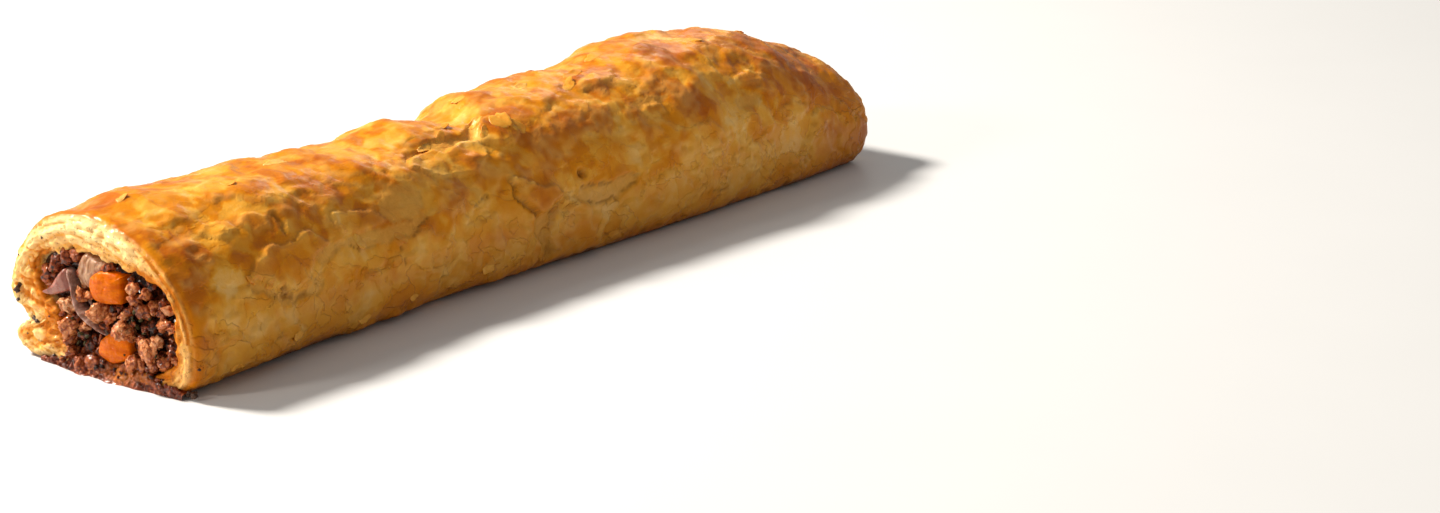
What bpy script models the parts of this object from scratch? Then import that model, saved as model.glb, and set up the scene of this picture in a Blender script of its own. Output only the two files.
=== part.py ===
"""A cut length of sausage roll: a pastry tube round a minced filling, with carrot and onion in the cuts.

Metres, +Z up, +Y along the roll. The cut that is seen is at -Y, and the roll lies on its flat base at Z = 0.
Sizes below are in millimetres and are turned into metres where a mesh is made.
"""

import math

import bmesh
import bpy
import numpy as np
from mathutils import Matrix, Vector, noise

MM = 0.001

# The roll, from the near cut to the far cut
ROLL_LENGTH = 209.5
CREST_HEIGHTS = (30.0, 31.6, 30.9, 30.6, 32.0, 33.4, 34.7, 33.3, 25.6)
RIGHT_WIDTHS = (27.4, 26.1, 24.7, 24.1, 24.9, 26.1, 26.6, 26.7, 25.8)
LEFT_WIDTHS = (23.7, 23.2, 22.2, 21.5, 22.2, 22.9, 23.3, 23.0, 22.2)
WIDEST_AT = 0.27  # share of the height at which the roll is widest
ARCH_POWER = 2.12  # 2 is an ellipse, more is squarer
BASE_TUCKS = (2.9, 2.9, 2.9, 2.9, 3.6, 5.0, 5.6, 5.8, 4.8)  # how far the round underside would dip
FAR_BULGE = 5.6  # the middle of the far cut stands out this much
FAR_BULGE_FROM = 0.8

# The seam, where the wrapped edge meets the base on the left side
SEAM_DEPTH_NEAR = 6.2
SEAM_DEPTH_ALONG = 2.2
SEAM_FADE = 16.0
SEAM_ANGLE = math.radians(181.5)
SEAM_SPREAD = 0.085

# The cut faces and the hole that holds the filling
EDGE_ROUND = 1.9
RIM_PILLOW = 0.7
MOUTH_CENTRE = (4.8, 11.9)
MOUTH_HALF_WIDTH = 18.3
MOUTH_UP = 11.5
MOUTH_DOWN = 10.3
MOUTH_POWER = 2.5
MOUTH_LEAN = 0.13
FLAP_PUSH = 4.6  # the seam flap pushes the left wall in by this much
FLAP_HEIGHT = 8.6
FLAP_SPREAD = 3.6
GAP = 0.3  # between touching pieces

# Puffed and sunken places on the crust: from the near cut, angle round, height, spread along, spread round
SWELLS = (
    (3.0, 130.0, 0.7, 13.0, 28.0),
    (11.0, 97.0, 1.3, 8.0, 26.0),
    (33.0, 62.0, 1.3, 8.0, 20.0),
    (50.0, 100.0, 0.6, 9.0, 24.0),
    (68.5, 48.0, 1.1, 8.0, 18.0),
    (82.0, 100.0, 1.4, 7.0, 30.0),
    (95.0, 114.0, -3.2, 5.5, 34.0),
    (106.0, 118.0, 1.3, 7.0, 26.0),
    (110.0, 72.0, 1.2, 9.0, 24.0),
    (125.0, 108.0, 0.9, 7.0, 22.0),
    (136.0, 98.0, -1.2, 3.6, 26.0),
    (142.0, 110.0, -0.8, 4.5, 26.0),
    (154.0, 96.0, 1.2, 4.5, 28.0),
    (167.0, 122.0, 1.1, 8.0, 26.0),
    (195.0, 90.0, 1.1, 10.0, 34.0),
    (108.0, 22.0, -0.9, 4.0, 14.0),
    (75.0, 20.0, 0.8, 9.0, 14.0),
    (150.0, 28.0, 0.9, 11.0, 18.0),
    (41.5, 150.0, 1.0, 12.0, 22.0),
    (104.0, 145.0, -0.8, 9.0, 20.0),
    (166.0, 148.0, 1.0, 14.0, 22.0),
)

OUTER_STATIONS = 37
TUNNEL_STATIONS = 9
EVEN_ANGLES = 42
SEAM_ANGLES = (-0.20, -0.12, -0.06, 0.0, 0.06, 0.12, 0.20)
CAP_RINGS = 7


def clear_scene():
    for old in list(bpy.data.objects):
        bpy.data.objects.remove(old, do_unlink=True)


def material(name, colour, roughness):
    made = bpy.data.materials.new(name)
    made.use_nodes = True
    shader = made.node_tree.nodes["Principled BSDF"]
    shader.inputs["Base Color"].default_value = (*colour, 1.0)
    shader.inputs["Roughness"].default_value = roughness
    return made


def smooth_along(values, share):
    """A Catmull-Rom curve through evenly spaced values, at shares from 0 to 1."""
    values = np.asarray(values, float)
    place = np.clip(share, 0.0, 1.0) * (len(values) - 1)
    left = np.minimum(place.astype(int), len(values) - 2)
    part = place - left
    before = values[np.maximum(left - 1, 0)]
    first = values[left]
    second = values[left + 1]
    after = values[np.minimum(left + 2, len(values) - 1)]
    return first + 0.5 * part * (
        second
        - before
        + part * (2 * before - 5 * first + 4 * second - after)
        + part**2 * (3 * (first - second) + after - before)
    )


def signed_power(value, power):
    return np.sign(value) * np.abs(value) ** power


def angle_apart(first, second):
    return (first - second + math.pi) % (2 * math.pi) - math.pi


def ring_angles():
    """Angles round the roll: even, with more of them at the seam."""
    even = np.arange(EVEN_ANGLES) * 2 * math.pi / EVEN_ANGLES
    even = even[np.abs(angle_apart(even, SEAM_ANGLE)) > max(SEAM_ANGLES) + 0.03]
    return np.sort(np.concatenate([even, SEAM_ANGLE + np.array(SEAM_ANGLES)]))


def swell_height(angle, share):
    """How far the crust stands out from the plain arch."""
    height = np.zeros(np.broadcast(angle, share).shape)
    for place, degrees, rise, along, around in SWELLS:
        far = (share * ROLL_LENGTH - place) / along
        aside = np.degrees(angle_apart(angle, math.radians(degrees))) / around
        height = height + rise * np.exp(-(far**2) - aside**2)
    return height


def seam_depth(share):
    return SEAM_DEPTH_ALONG + (SEAM_DEPTH_NEAR - SEAM_DEPTH_ALONG) * np.exp(-share * ROLL_LENGTH / SEAM_FADE)


def skin(angle, share):
    """Outer outline of the pastry across the roll: x and z in millimetres."""
    angle, share = np.broadcast_arrays(angle, share)
    height = smooth_along(CREST_HEIGHTS, share)
    middle = WIDEST_AT * height
    across, upward = np.cos(angle), np.sin(angle)
    half = np.where(across > 0, smooth_along(RIGHT_WIDTHS, share), smooth_along(LEFT_WIDTHS, share))
    x = half * signed_power(across, 2 / ARCH_POWER)
    above = (height - middle) * np.abs(upward) ** (2 / ARCH_POWER)
    below = -(middle + smooth_along(BASE_TUCKS, share)) * np.abs(upward) ** (2 / 3)
    z = middle + np.where(upward > 0, above, below)
    swell = swell_height(angle, share)
    reach = np.hypot(x, z - middle)
    x = x + swell * x / reach
    z = z + swell * (z - middle) / reach
    notch = np.exp(-((angle_apart(angle, SEAM_ANGLE) / SEAM_SPREAD) ** 2))
    x = x + seam_depth(share) * notch
    return x, np.maximum(z, 0.0)


def mouth(angle, share):
    """Outline of the hole for the filling, across the roll."""
    angle, share = np.broadcast_arrays(angle, share)
    grown = smooth_along(CREST_HEIGHTS, share) / CREST_HEIGHTS[0]
    across, upward = np.cos(angle), np.sin(angle)
    half = MOUTH_HALF_WIDTH * smooth_along(RIGHT_WIDTHS, share) / RIGHT_WIDTHS[0]
    x = MOUTH_CENTRE[0] + half * signed_power(across, 2 / MOUTH_POWER)
    rise = np.where(upward > 0, MOUTH_UP, MOUTH_DOWN)
    z = MOUTH_CENTRE[1] + rise * signed_power(upward, 2 / MOUTH_POWER)
    z = z - MOUTH_LEAN * (x - MOUTH_CENTRE[0]) * np.maximum(upward, 0.0)
    push = FLAP_PUSH * np.exp(-(((z - FLAP_HEIGHT) / FLAP_SPREAD) ** 2)) * np.maximum(-across, 0.0)
    return x + push, (z - 1.6) * grown + 1.6


def cut_bulge(z, share):
    """How far the far end stands out beyond its own plain cut, at height z."""
    height = smooth_along(CREST_HEIGHTS, share)
    ramp = np.clip((share - FAR_BULGE_FROM) / (1 - FAR_BULGE_FROM), 0.0, 1.0)
    return FAR_BULGE * ramp * np.clip(1 - ((z - 0.45 * height) / (0.6 * height)) ** 2, 0.0, 1.0)


def ring_at(outline, angle, share, inset, forward):
    """One closed ring, drawn in towards the middle by inset and moved towards the near cut by forward."""
    share = np.full(angle.shape, share)
    x, z = outline(angle, share)
    middle_x, middle_z = x.mean(), WIDEST_AT * smooth_along(CREST_HEIGHTS, share)
    reach = np.hypot(x - middle_x, z - middle_z)
    x = x - inset * (x - middle_x) / reach
    z = z - inset * (z - middle_z) / reach
    y = (share - 0.5) * ROLL_LENGTH + cut_bulge(z, share) - forward
    return np.stack([x, y, z], axis=1)


def end_share(end, depth):
    """The share of the length that lies depth millimetres in from the near (0) or far (1) end."""
    return depth / ROLL_LENGTH if end == 0 else 1 - depth / ROLL_LENGTH


def rim_rings(angle, end):
    """The rounded edge and pillowed face of one cut, from the outer skin in to the hole."""
    outward = 1.0 if end == 0 else -1.0
    rings = []
    for inset, depth in ((0.0, EDGE_ROUND), (0.25 * EDGE_ROUND, 0.3 * EDGE_ROUND)):
        rings.append(ring_at(skin, angle, end_share(end, depth), inset, 0.0))
    rings.append(ring_at(skin, angle, float(end), 0.75 * EDGE_ROUND, 0.0))
    lip = ring_at(mouth, angle, float(end), 0.0, 0.0)
    between = 0.45 * rings[-1] + 0.55 * lip
    between[:, 1] -= outward * RIM_PILLOW
    rings.append(between)
    rings.append(lip + np.array([0.0, outward * 0.5, 0.0]))
    return rings


def tunnel_rings(angle, inset):
    """Rings of the hole from near to far, drawn in by inset for the piece that fills it."""
    rings = []
    for share in np.linspace(end_share(0, 2.6), end_share(1, 2.6), TUNNEL_STATIONS):
        ring = ring_at(mouth, angle, share, 0.0, 0.0)
        rings.append(drawn_in(ring, inset))
    return rings


def drawn_in(ring, inset):
    """The ring moved inwards by inset, square to its own outline."""
    along = np.roll(ring, -1, axis=0) - np.roll(ring, 1, axis=0)
    inward = np.stack([-along[:, 2], np.zeros(len(ring)), along[:, 0]], axis=1)
    inward /= np.linalg.norm(inward, axis=1)[:, None]
    return ring + inset * inward


def mesh_object(name, points, faces, look):
    mesh = bpy.data.meshes.new(name)
    mesh.from_pydata([tuple(p) for p in np.asarray(points) * MM], [], faces)
    mesh.update()
    made = bpy.data.objects.new(name, mesh)
    bpy.context.scene.collection.objects.link(made)
    shape = bmesh.new()
    shape.from_mesh(mesh)
    bmesh.ops.triangulate(shape, faces=shape.faces)
    bmesh.ops.recalc_face_normals(shape, faces=shape.faces)
    if shape.calc_volume(signed=True) < 0:
        bmesh.ops.reverse_faces(shape, faces=shape.faces)
    shape.to_mesh(mesh)
    shape.free()
    for face in mesh.polygons:
        face.use_smooth = True
    mesh.materials.append(look)
    return made


def ring_faces(first, second, count):
    """Quads between two rings of count points that start at these numbers."""
    return [(first + i, first + (i + 1) % count, second + (i + 1) % count, second + i) for i in range(count)]


def build_pastry(look):
    angle = ring_angles()
    rings = rim_rings(angle, 0)[::-1]
    for share in np.linspace(end_share(0, 5.0), end_share(1, 5.0), OUTER_STATIONS):
        rings.append(ring_at(skin, angle, share, 0.0, 0.0))
    rings += rim_rings(angle, 1)
    rings += tunnel_rings(angle, 0.0)[::-1]
    count = len(angle)
    faces = []
    for number in range(len(rings)):
        faces += ring_faces(number * count, (number + 1) % len(rings) * count, count)
    return mesh_object("pastry", np.concatenate(rings), faces, look)


def mince_relief(x, z, seed):
    """Lumps of mince standing out of the cut, in millimetres."""
    coarse = noise.noise(Vector((x / 5.5, z / 5.5, seed)))
    fine = noise.noise(Vector((x / 2.6, z / 2.6, seed + 7.3)))
    return 1.1 * coarse + 0.7 * fine


def cap_rings(angle, end, edge):
    """Rings that close the filling at one cut, from its edge in to the middle, lumpy all over."""
    outward = 1.0 if end == 0 else -1.0
    middle = edge.mean(axis=0)
    rings = []
    for number in range(CAP_RINGS):
        kept = 1 - number / CAP_RINGS
        ring = middle + (edge - middle) * kept
        share = np.full(len(ring), float(end))
        plain = (share - 0.5) * ROLL_LENGTH + cut_bulge(ring[:, 2], share)
        lumps = np.array([mince_relief(x, z, 3.1 + 20 * end) for x, _, z in ring])
        sunk = 0.9 + 0.05 * (ring[:, 2] - 12.0) - (1 - kept) * 0.6 - lumps
        ring[:, 1] = plain + outward * np.maximum(sunk, -1.0)
        rings.append(ring)
    return rings


def build_filling(look):
    angle = ring_angles()
    tunnel = tunnel_rings(angle, GAP)
    near = cap_rings(angle, 0, tunnel[0])
    # The hole narrows towards the far cut, so the filling is drawn in once more there
    far = cap_rings(angle, 1, drawn_in(tunnel[-1], GAP))
    rings = near[::-1] + tunnel + far
    count = len(angle)
    faces = []
    for number in range(len(rings) - 1):
        faces += ring_faces(number * count, (number + 1) * count, count)
    points = np.concatenate(rings)
    poles = np.array([rings[0].mean(axis=0), rings[-1].mean(axis=0)])
    last = (len(rings) - 1) * count
    faces += [(len(points), (i + 1) % count, i) for i in range(count)]
    faces += [(len(points) + 1, last + i, last + (i + 1) % count) for i in range(count)]
    return mesh_object("filling", np.concatenate([points, poles]), faces, look)


def cube_shell(cells):
    """Points and quads of a cube from -1 to 1 whose sides are cells by cells squares."""
    shape = bmesh.new()
    bmesh.ops.create_cube(shape, size=2.0)
    bmesh.ops.subdivide_edges(shape, edges=shape.edges, cuts=cells - 1, use_grid_fill=True)
    shape.verts.ensure_lookup_table()
    points = np.array([tuple(v.co) for v in shape.verts])
    faces = [tuple(v.index for v in face.verts) for face in shape.faces]
    shape.free()
    return points, faces


def chunk(name, look, place, half, turn, squareness=3.6, taper=0.0, bend=0.0, grow=0.0, cells=4):
    """A soft-edged block of vegetable.

    Taper thins it towards its left end, and bend curves it like a slice of onion layer.
    """
    points, faces = cube_shell(cells)
    length = (np.abs(points) ** squareness).sum(axis=1) ** (1 / squareness)
    points = points / length[:, None]
    size = np.array(half) + grow
    points = points * size
    points[:, 2] *= 1 + taper * points[:, 0] / size[0]
    points[:, 2] -= bend * (points[:, 0] / half[0]) ** 2
    spin = np.array(Matrix.Rotation(math.radians(-turn), 3, "Y"))
    points = points @ spin.T + np.array(place)
    return mesh_object(name, points, faces, look)


def near_place(x, z, depth):
    return (x, -0.5 * ROLL_LENGTH + depth, z)


def far_place(x, z, depth):
    bulge = float(cut_bulge(np.array(z), np.array(1.0)))
    return (x, 0.5 * ROLL_LENGTH + bulge - depth, z)


def near_piece(look, x, z, depth, half, turn, **shape):
    """A vegetable piece in the near cut: its material, then what chunk needs."""
    return look, dict(place=near_place(x, z, depth), half=half, turn=turn, **shape)


def far_piece(look, x, z, depth, half, turn, **shape):
    """A vegetable piece in the far cut: its material, then what chunk needs."""
    return look, dict(place=far_place(x, z, depth), half=half, turn=turn, **shape)


def piece_sizes():
    """Every vegetable piece. Those first in the list cut into the later ones."""
    return {
        "carrot_upper": near_piece("carrot", 6.0, 17.5, 3.0, (5.3, 3.6, 3.0), 9.0, taper=0.16),
        "carrot_lower": near_piece("carrot", 7.2, 6.1, 2.6, (5.4, 3.4, 2.7), 12.0, taper=0.2),
        "onion_petal": near_piece("onion", -7.9, 16.0, 2.6, (4.6, 3.1, 1.75), 35.0, bend=0.9),
        "onion_dice": near_piece("onion", 0.6, 20.0, 3.7, (4.0, 3.2, 2.5), 4.0),
        "onion_strip": near_piece("onion", 0.0, 10.6, 2.4, (5.4, 2.4, 0.85), -28.0, bend=-0.6),
        "carrot_far": far_piece("carrot", -1.5, 12.4, 3.2, (5.0, 3.6, 3.1), -14.0, taper=0.14),
        "onion_far": far_piece("onion", 10.0, 8.2, 3.2, (4.4, 3.2, 1.6), 24.0, bend=0.8),
    }


def cut_away(body, cutter):
    """Takes the cutter's shape out of the body."""
    cut = body.modifiers.new("room for " + cutter.name, "BOOLEAN")
    cut.operation = "DIFFERENCE"
    cut.solver = "EXACT"
    cut.object = cutter


def build_pieces(looks):
    """The vegetable pieces, and a slightly bigger copy of each that makes room for it in what lies behind."""
    pieces = []
    rooms = []
    for name, (look, sizes) in piece_sizes().items():
        piece = chunk(name, looks[look], **sizes)
        for room in rooms:
            if touching(piece, room):
                cut_away(piece, room)
        room = chunk(name + "_room", looks[look], grow=GAP, **sizes)
        room.hide_render = True
        room.display_type = "WIRE"
        pieces.append(piece)
        rooms.append(room)
    return pieces, rooms


def touching(first, second):
    """Whether the boxes round two meshes meet."""
    low_a, high_a = mesh_box(first)
    low_b, high_b = mesh_box(second)
    return bool(np.all(low_a <= high_b) and np.all(low_b <= high_a))


def mesh_box(made):
    points = np.array([tuple(v.co) for v in made.data.vertices])
    return points.min(axis=0), points.max(axis=0)


def centre_on_box(objects, body):
    """Moves every mesh so that the body's box is centred over the origin and rests at Z = 0."""
    low, high = mesh_box(body)
    shift = Vector((-(low[0] + high[0]) / 2, -(low[1] + high[1]) / 2, -low[2]))
    for made in objects:
        made.data.transform(Matrix.Translation(shift))


def main():
    clear_scene()
    looks = {
        "carrot": material("cooked_carrot", (0.85, 0.25, 0.02), 0.3),
        "onion": material("cooked_onion", (0.42, 0.3, 0.26), 0.25),
    }
    pastry = build_pastry(material("baked_pastry", (0.72, 0.42, 0.13), 0.4))
    filling = build_filling(material("minced_filling", (0.2, 0.07, 0.04), 0.45))
    pieces, rooms = build_pieces(looks)
    for room in rooms:
        cut_away(filling, room)
    centre_on_box([pastry, filling, *pieces, *rooms], pastry)


main()
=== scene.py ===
# %% [markdown]
# # A sausage roll, cut at both ends
# The roll is a tube of puff pastry, wrapped round minced meat with carrot and onion, baked and then cut.
# The solid model already has its true size, its swells, its seam and its cut faces. This lesson adds what an
# oven adds: blisters, flakes, browning, the layered cut edge, and the loose, glossy crumbs of the filling.
# We start by loading that solid model as a fixed frame, and we keep its box.

import math

import bmesh
import bpy
import numpy as np
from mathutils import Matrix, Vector
from mathutils.bvhtree import BVHTree


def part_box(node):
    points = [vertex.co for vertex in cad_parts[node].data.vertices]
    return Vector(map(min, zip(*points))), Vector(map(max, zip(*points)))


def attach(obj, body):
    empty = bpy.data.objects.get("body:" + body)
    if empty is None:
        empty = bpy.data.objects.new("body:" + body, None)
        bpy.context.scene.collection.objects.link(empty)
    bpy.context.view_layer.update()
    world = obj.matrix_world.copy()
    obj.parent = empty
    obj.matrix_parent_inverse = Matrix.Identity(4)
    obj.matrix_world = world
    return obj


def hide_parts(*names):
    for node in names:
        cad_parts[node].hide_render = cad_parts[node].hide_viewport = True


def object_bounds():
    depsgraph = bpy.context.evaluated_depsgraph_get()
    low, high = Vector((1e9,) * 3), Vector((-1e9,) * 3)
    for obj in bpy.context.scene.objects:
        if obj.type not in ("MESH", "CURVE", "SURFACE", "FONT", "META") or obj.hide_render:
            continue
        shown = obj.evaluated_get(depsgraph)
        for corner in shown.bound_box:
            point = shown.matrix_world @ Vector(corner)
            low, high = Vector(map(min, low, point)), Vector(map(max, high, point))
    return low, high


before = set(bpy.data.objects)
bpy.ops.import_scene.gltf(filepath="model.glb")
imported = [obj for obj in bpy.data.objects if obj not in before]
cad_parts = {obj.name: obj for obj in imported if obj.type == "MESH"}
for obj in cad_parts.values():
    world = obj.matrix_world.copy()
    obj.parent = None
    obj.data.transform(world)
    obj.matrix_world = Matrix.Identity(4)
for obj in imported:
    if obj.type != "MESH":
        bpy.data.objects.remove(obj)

MM = 0.001
solid_low, solid_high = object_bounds()
BOX_LOW = np.array(solid_low) / MM
BOX_HIGH = np.array(solid_high) / MM
print("solid model, mm:", np.round(BOX_HIGH - BOX_LOW, 1))

# %% [markdown]
# ## Noise that we can run on whole arrays
# Baked food has no straight line and no even spacing, so nearly every shape below is steered by noise.
# Blender has noise for one point at a time. A crust of ninety thousand points would be slow that way, so we
# write two small noises in numpy instead: a smooth one for swells and ragged edges, and one made of cells,
# for blisters and crumbs. Both take a seed, so the roll comes out the same each time.


# %% Smooth noise and cell noise
TABLE_SIZE = 1024


def random_table(seed):
    """A shuffled list that turns a cell's whole-number place into a repeatable random row, and those rows."""
    maker = np.random.default_rng(seed)
    return maker.permutation(TABLE_SIZE), maker.random((TABLE_SIZE, 4))


def cell_rows(shuffled, x, y, z):
    return shuffled[(shuffled[(shuffled[x % TABLE_SIZE] + y) % TABLE_SIZE] + z) % TABLE_SIZE]


def smooth_noise(points, size, seed):
    """Soft noise from about -1 to 1, with bumps of about this size."""
    shuffled, rows = random_table(seed)
    tilts = rows[:, :3] * 2 - 1
    scaled = np.asarray(points, float).reshape(-1, 3) / size + 100.5
    corner = np.floor(scaled).astype(np.int64)
    part = scaled - corner
    ease = part * part * part * (part * (part * 6 - 15) + 10)
    total = np.zeros(len(scaled))
    for dx, dy, dz in np.ndindex(2, 2, 2):
        row = cell_rows(shuffled, corner[:, 0] + dx, corner[:, 1] + dy, corner[:, 2] + dz)
        tilt = tilts[row]
        weight = (ease[:, 0] if dx else 1 - ease[:, 0]) * (ease[:, 1] if dy else 1 - ease[:, 1])
        weight = weight * (ease[:, 2] if dz else 1 - ease[:, 2])
        rise = tilt[:, 0] * (part[:, 0] - dx) + tilt[:, 1] * (part[:, 1] - dy) + tilt[:, 2] * (part[:, 2] - dz)
        total += weight * rise
    return total.reshape(np.shape(points)[:-1]) * 1.7


def layered_noise(points, size, seed, layers=3):
    """Smooth noise with finer and weaker copies of itself on top."""
    total = np.zeros(np.asarray(points).shape[:-1])
    for layer in range(layers):
        total += smooth_noise(points, size / 2**layer, seed + 101 * layer) / 1.9**layer
    return total


def cell_noise(points, size, seed):
    """Distances to the nearest and second nearest of scattered centres, and the nearest's own number."""
    shuffled, rows = random_table(seed)
    scaled = np.asarray(points, float).reshape(-1, 3) / size + 50.0
    corner = np.floor(scaled).astype(np.int64)
    first = np.full(len(scaled), 9.0)
    second = first.copy()
    owner = np.zeros(len(scaled))
    for dx, dy, dz in np.ndindex(3, 3, 3):
        cell = corner + np.array([dx - 1, dy - 1, dz - 1])
        row = rows[cell_rows(shuffled, cell[:, 0], cell[:, 1], cell[:, 2])]
        far = np.sqrt(((scaled - cell - row[:, :3]) ** 2).sum(axis=1))
        closer = far < first
        second = np.where(closer, first, np.minimum(second, far))
        owner = np.where(closer, row[:, 3], owner)
        first = np.where(closer, far, first)
    shape = np.shape(points)[:-1]
    return first.reshape(shape), second.reshape(shape), owner.reshape(shape)


def step_up(value, start, end):
    """0 before start, 1 after end, and a smooth rise between."""
    share = np.clip((value - start) / (end - start), 0.0, 1.0)
    return share * share * (3 - 2 * share)


print("noise ready:", round(float(smooth_noise(np.array([[1.0, 2.0, 3.0]]), 5.0, 1)[0]), 3))

# %% [markdown]
# ## Reading the roll's shape from the solid model
# The crust has to lie where the solid pastry is. We could repeat its formulas here, but then a change to one
# file would be missed in the other. So we measure it: rays go out from the middle of the filling, one for
# each place along the roll and each angle round it. The first wall they meet is the hole for the filling, and
# the last is the outer skin. A slight blur takes the flat facets out, and a cubic curve fills in between.


# %% Rays from the middle of the filling
def solid_tree(name):
    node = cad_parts[name]
    return BVHTree.FromPolygons(
        [np.array(v.co) / MM for v in node.data.vertices],
        [tuple(p.vertices) for p in node.data.polygons],
    )


filling_low, filling_high = (np.array(corner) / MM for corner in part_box("filling"))
HEART_X = 0.5 * (filling_low[0] + filling_high[0]) - 1.0
HEART_Z = 0.5 * (filling_low[2] + filling_high[2]) - 3.5
PASTRY_TREE = solid_tree("pastry")
RAY_STEP_MM = 2.5
RAY_ANGLES = 144
RAY_MARGIN_MM = 4.0
RAY_FAR_MARGIN_MM = 10.0


def wall_distances(y, angle):
    """How far from the middle the pastry starts and ends, along one ray."""
    way = Vector((math.cos(angle), 0.0, math.sin(angle)))
    start = Vector((HEART_X, y, HEART_Z))
    found = []
    while len(found) < 8:
        place, _, _, _ = PASTRY_TREE.ray_cast(start, way)
        if place is None:
            break
        found.append(math.hypot(place.x - HEART_X, place.z - HEART_Z))
        start = place + way * 0.01
    return found[0], found[-1]


ray_places = np.arange(BOX_LOW[1] + RAY_MARGIN_MM, BOX_HIGH[1] - RAY_FAR_MARGIN_MM, RAY_STEP_MM)
ray_angles = np.arange(RAY_ANGLES) * 2 * math.pi / RAY_ANGLES
walls = np.array([[wall_distances(y, angle) for angle in ray_angles] for y in ray_places])
skin_walls = walls[..., 1]
print("rays:", walls.shape[:2], "skin from", round(skin_walls.min(), 1), "to", round(skin_walls.max(), 1), "mm")


# %% A smooth surface through the measured distances
def blurred(grid, passes):
    """Each value mixed with its neighbours; the second axis goes round and the first doesn't."""
    for _ in range(passes):
        padded = np.concatenate([grid[:1], grid, grid[-1:]])
        grid = 0.25 * padded[:-2] + 0.5 * grid + 0.25 * padded[2:]
        grid = 0.2 * np.roll(grid, 1, axis=1) + 0.6 * grid + 0.2 * np.roll(grid, -1, axis=1)
    return grid


def cubic_parts(place):
    """The four weights of a Catmull-Rom curve, for a share between its middle two values."""
    square, cube = place**2, place**3
    return (
        0.5 * (-cube + 2 * square - place),
        0.5 * (3 * cube - 5 * square + 2),
        0.5 * (-3 * cube + 4 * square + place),
        0.5 * (cube - square),
    )


def read_grid(grid, y, angle):
    """The grid's value at any place along and angle round, straight on past its ends."""
    along = (y - ray_places[0]) / RAY_STEP_MM
    inside = np.clip(along, 0.0, len(ray_places) - 1.001)
    row = inside.astype(int)
    round_place = (angle % (2 * math.pi)) / (2 * math.pi) * RAY_ANGLES
    column = np.floor(round_place).astype(int)
    total = np.zeros(np.broadcast(y, angle).shape)
    for i, row_weight in enumerate(cubic_parts(inside - row)):
        rows = np.clip(row + i - 1, 0, len(ray_places) - 1)
        for j, column_weight in enumerate(cubic_parts(round_place - column)):
            total += row_weight * column_weight * grid[rows, (column + j - 1) % RAY_ANGLES]
    columns = np.round(round_place).astype(int) % RAY_ANGLES
    end_slope = (grid[-1] - grid[-5])[columns] / 4
    return total + np.maximum(along - inside, 0.0) * end_slope


SKIN_GRID = blurred(skin_walls, 1)
MOUTH_GRID = blurred(walls[..., 0], 1)
# Where the near hole's edge lies off the plain hole: degrees round, spread in degrees, mm outward
MOUTH_SHIFTS = ((158.0, 13.0, 2.6), (85.0, 30.0, -0.9), (28.0, 9.0, 0.8), (4.0, 7.0, -1.3))
MOUTH_SHIFT_FADE_MM = 9.0


def hole_reach(y, angle):
    """How far the hole's wall lies from the middle, with the uneven edge of the near cut."""
    reach = read_grid(MOUTH_GRID, y, angle)
    fade = np.exp(-np.maximum(y - ray_places[0], 0.0) / MOUTH_SHIFT_FADE_MM)
    for degrees, spread, outward in MOUTH_SHIFTS:
        aside = (np.degrees(angle) - degrees + 180.0) % 360.0 - 180.0
        reach = reach + outward * np.exp(-((aside / spread) ** 2)) * fade
    return reach


print("crest height at the middle, mm:", round(float(HEART_Z + read_grid(SKIN_GRID, 0.0, math.pi / 2)), 1))

# %% [markdown]
# ## The grid of the crust
# One grid of points makes the whole pastry: in from the hole at one cut, over the cut face, along the skin,
# over the other face and back in. Its rows are rings round the roll. Points lie under half a millimetre apart
# where the crust is seen, since a flake's torn edge is about that wide, and far apart on the flat underside.


# %% Angles round the roll, close together except underneath
AROUND = 214
UNDERSIDE_SHARE = 0.2  # how densely points lie on the flat base, against the rest
EDGE_ROUND_MM = 1.9


def spread_angles():
    """Angles at even steps of length round the roll's mean outline."""
    fine = np.linspace(0, 2 * math.pi, 2881)
    reach = read_grid(SKIN_GRID, 0.0, fine)
    outline = np.stack([reach * np.cos(fine), reach * np.sin(fine)], axis=1)
    steps = np.linalg.norm(np.diff(outline, axis=0), axis=1)
    height = HEART_Z + outline[1:, 1]
    steps = steps * np.where(height < 0.25, UNDERSIDE_SHARE, 1.0)
    length = np.concatenate([[0.0], np.cumsum(steps)])
    return np.interp(np.arange(AROUND) / AROUND * length[-1], length, fine)


ANGLES = spread_angles()
print("angles:", AROUND, "widest step, degrees:", round(math.degrees(np.diff(ANGLES).max()), 1))

# %% Where the two cut faces lie
FACE_DEPTHS = np.array([0.12, 0.3, 0.5, 0.7, 0.9])


def face_grid(end):
    """The y of a cut face, for shares from the skin in to the hole and for each ray angle."""
    out = 1.0 if end == "far" else -1.0
    edge_y = ray_places[-1] + RAY_FAR_MARGIN_MM - 3.0 if end == "far" else ray_places[0]
    skin = read_grid(SKIN_GRID, edge_y, ray_angles)
    hole = read_grid(MOUTH_GRID, edge_y, ray_angles)
    found = np.zeros((len(FACE_DEPTHS), RAY_ANGLES))
    for i, depth in enumerate(FACE_DEPTHS):
        reach = skin + (hole - skin) * depth
        for j, angle in enumerate(ray_angles):
            x = HEART_X + reach[j] * math.cos(angle)
            z = HEART_Z + reach[j] * math.sin(angle)
            place, _, _, _ = PASTRY_TREE.ray_cast(Vector((x, out * 200.0, z)), Vector((0, -out, 0)))
            found[i, j] = place.y if place is not None and abs(place.y - edge_y) < 16 else np.nan
        known = ~np.isnan(found[i])
        found[i] = np.interp(np.arange(RAY_ANGLES), np.flatnonzero(known), found[i][known])
    return blurred(found, 2)


FACES = {"near": face_grid("near"), "far": face_grid("far")}


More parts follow.
